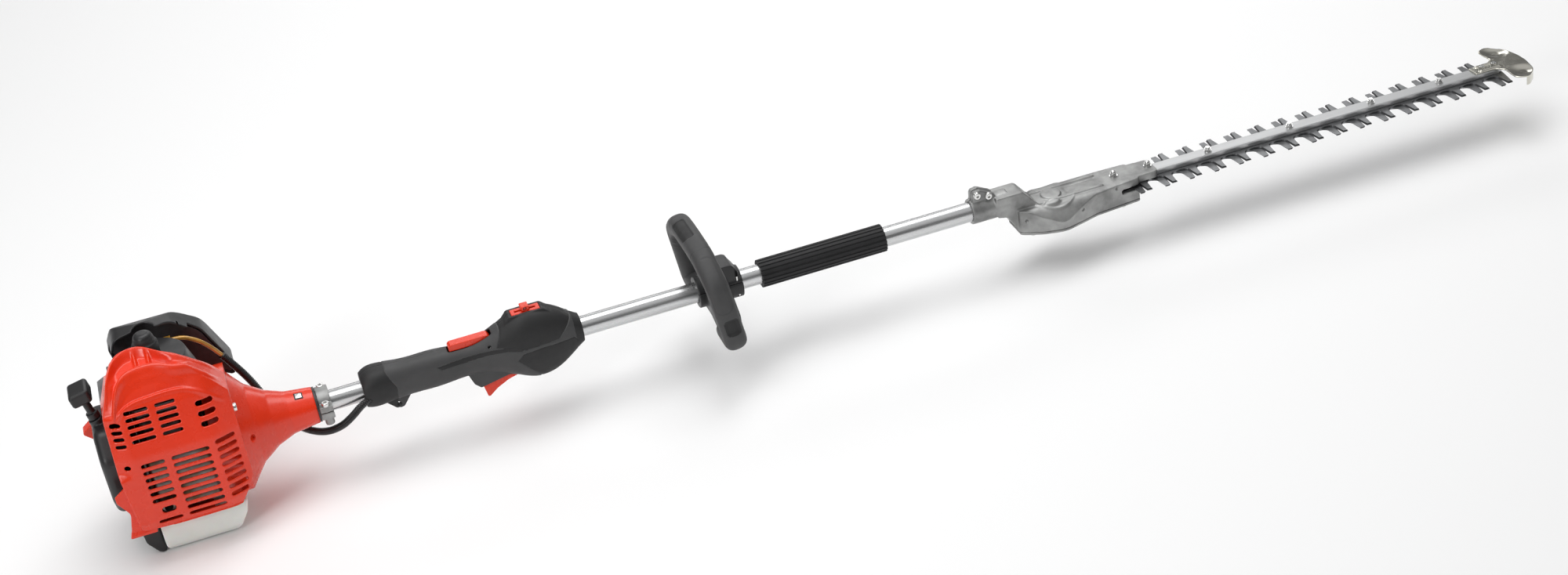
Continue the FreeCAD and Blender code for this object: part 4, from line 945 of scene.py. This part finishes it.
def tube_rings(points, radius_at, segments):
    """Rings round a line, turned as little as possible from one to the next."""
    side = Vector((0, 0, 1)).cross(points[1] - points[0]).normalized()
    rings = []
    for i, point in enumerate(points):
        tangent = (points[min(i + 1, len(points) - 1)] - points[max(i - 1, 0)]).normalized()
        side = (side - tangent * side.dot(tangent)).normalized()
        up = tangent.cross(side)
        radius = radius_at(i)
        rings.append([point + side * radius * math.cos(2 * math.pi * k / segments)
                      + up * radius * math.sin(2 * math.pi * k / segments) for k in range(segments)])
    return rings


def conduit():
    """Corrugated conduit that carries the throttle cable and the switch leads to the grip."""
    points = along(route_line(CONDUIT_ROUTE, "conduit_line"), CONDUIT_STEP)
    rings = tube_rings(points, lambda i: CONDUIT_R * (1.0 if i % 4 < 2 else 0.84), 20)
    piece = swept_loop("conduit", rings, GLOSS_BLACK)
    settle(piece, "frame", "black_plastic", "cable_conduit")


def starter_rope():
    """Braided rope between the housing and the pull handle, laid along the pull's axis."""
    joint = next(j for j in frame["joints"] if j["child"] == "starter_pull")
    axis = Vector(joint["axis"]).normalized()
    foot = Vector((-0.645, -0.010, 0.070))
    points = [foot + axis * (0.001 * i - 0.030) for i in range(37)]
    rings = tube_rings(points, lambda i: 0.0021, 24)
    piece = swept_loop("starter_rope", rings, ROPE)
    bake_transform(piece)


# ---- cutter head ----------------------------------------------------------------------------
CRANK_X = 549.8
CASE_HOLES = (Vector((505, -25.5, -22)), Vector((579, -35, -17.5)), Vector((631, -25, -13)))


def shape_gear_case(point):
    """Cast relief of the gear case: sloped flanks, ring rib, oval boss, sunken panel and small holes."""
    moved = point.copy()
    if point.x < 500:
        return moved
    flank = 0.043 * max(0.0, abs(point.y) - 20) ** 2
    moved.z -= flank * min(1.0, max(0.0, (point.z + 38) / 29)) * smooth_step(point.x, 500, 516)
    if point.z > -12 and point.x > 522:
        reach = math.hypot(point.x - CRANK_X, point.y)
        moved.z += 1.3 * hump(reach - 31, 2.6) * (1 - smooth_step(point.x, 566, 580))
        moved.z += 3.0 * (1 - smooth_step(math.hypot((point.x - 543) / 2.1, point.y + 21.5), 3.5, 6.5))
        panel = smooth_step(point.x, 566, 572) * (1 - smooth_step(point.x, 612, 620))
        moved.z -= panel * (1 - smooth_step(abs(point.y), 9, 12))
    for hole in CASE_HOLES:
        depth = 2.6 * (1 - smooth_step((point - hole).length, 1.2, 2.4))
        moved -= Vector((0, math.copysign(depth, point.y), 0)) * (1 if point.y * hole.y > 0 else 0)
    return moved


TOOTH_ROOT_Y = 0.0146
TOOTH_BEVEL_WIDTH = 0.0013


def blade(node):
    """Cutter bar blade with ground bevels on every tooth."""
    piece = link_mesh(node + "_body", NODES[node].data.copy(), smooth=False)
    mesh = piece.data
    mesh.materials.clear()
    mesh.materials.append(MATERIALS["blade_steel"])
    mesh.materials.append(TOOTH_BEVEL_SHADE)
    work = bmesh.new()
    work.from_mesh(mesh)
    bmesh.ops.remove_doubles(work, verts=work.verts, dist=1e-6)
    low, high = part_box(node)
    outer_z = high.z if node == "upper_blade" else low.z
    moves = {}
    for vertex in work.verts:
        if abs(vertex.co.z - outer_z) > 1e-5 or abs(vertex.co.y) < TOOTH_ROOT_Y:
            continue
        sides = [face.normal for face in vertex.link_faces if abs(face.normal.z) < 0.5]
        if not sides:
            continue
        inward = -sum(sides, Vector()).normalized()
        moves[vertex] = inward * TOOTH_BEVEL_WIDTH * smooth_step(abs(vertex.co.y), TOOTH_ROOT_Y, 0.019)
    for vertex, move in moves.items():
        vertex.co += move
    work.normal_update()
    for face in work.faces:
        face.smooth = False
        far = all(abs(vertex.co.y) > TOOTH_ROOT_Y for vertex in face.verts)
        # Sloping tooth faces take the darker bevel material: painted shade.
        face.material_index = 1 if far and abs(face.normal.z) < 0.9 else 0
    work.to_mesh(mesh)
    work.free()
    return settle(piece, BODY_OF[node], "blade_steel", node)


def shape_tip_guard(point):
    """Dishes the two lobes of the sheet guard."""
    moved = point.copy()
    if point.x > 1196:
        lobe = math.hypot(point.x - 1217, abs(point.y) - 33)
        moved.z -= 2.2 * (1 - smooth_step(lobe, 4, 20))
    return moved


def braided_rope():
    material = new_material("braided_rope", (0.03, 0.03, 0.032), 0.8)
    vary_color(material, 700, 0.4)
    add_bump(material, 1800, 0.5, 0.0004, (1, 1, 0.4))
    return material


ROPE = braided_rope()
TOOTH_BEVEL_SHADE = tooth_bevel_shade()


# ---- the tool -------------------------------------------------------------------------------
# Pieces that only get their moulding radii: node, voxel size (mm), smoothing passes
PLAIN_MOULDINGS = (
    ("starter_housing", 1.0, 5), ("fuel_tank", 1.2, 6), ("tank_guard", 1.2, 4), ("loop_bracket", 0.9, 5),
    ("rear_shield", 0.8, 4), ("starter_handle", 0.7, 5), ("neck_clamp_upper", 0.7, 4),
    ("neck_clamp_lower", 0.7, 4), ("gear_case_cover", 0.8, 4), ("throttle_trigger", 0.5, 5),
    ("lockout_lever", 0.5, 5), ("switch_plate", 0.4, 3), ("stop_switch", 0.4, 3),
)

add_stage()
finish_cad_nodes()
conduit()
starter_rope()
neck_badge()
# Black sheet as painted shade inside the engine bay
engine_bay_shade_sheet()
plug_cap()
loop_handle()
blade("upper_blade")
blade("lower_blade")

softened("gear_case", 0.9, 4, shape_gear_case)
softened("fan_cover", 0.9, 4, shape_fan_cover)
softened("tip_guard", 0.7, 3, shape_tip_guard)
softened("loop_clamp_cap", 0.8, 5, None, [(100.5, 110, -30, -5, 9, 17, 3.9)])
softened("air_cleaner_cover", 0.9, 5, shape_air_cleaner)
for node_name, voxel_mm, smooth_passes in PLAIN_MOULDINGS:
    softened(node_name, voxel_mm, smooth_passes)
engine_cover()
for grip_side in ("right", "left"):
    grip_shell(grip_side)
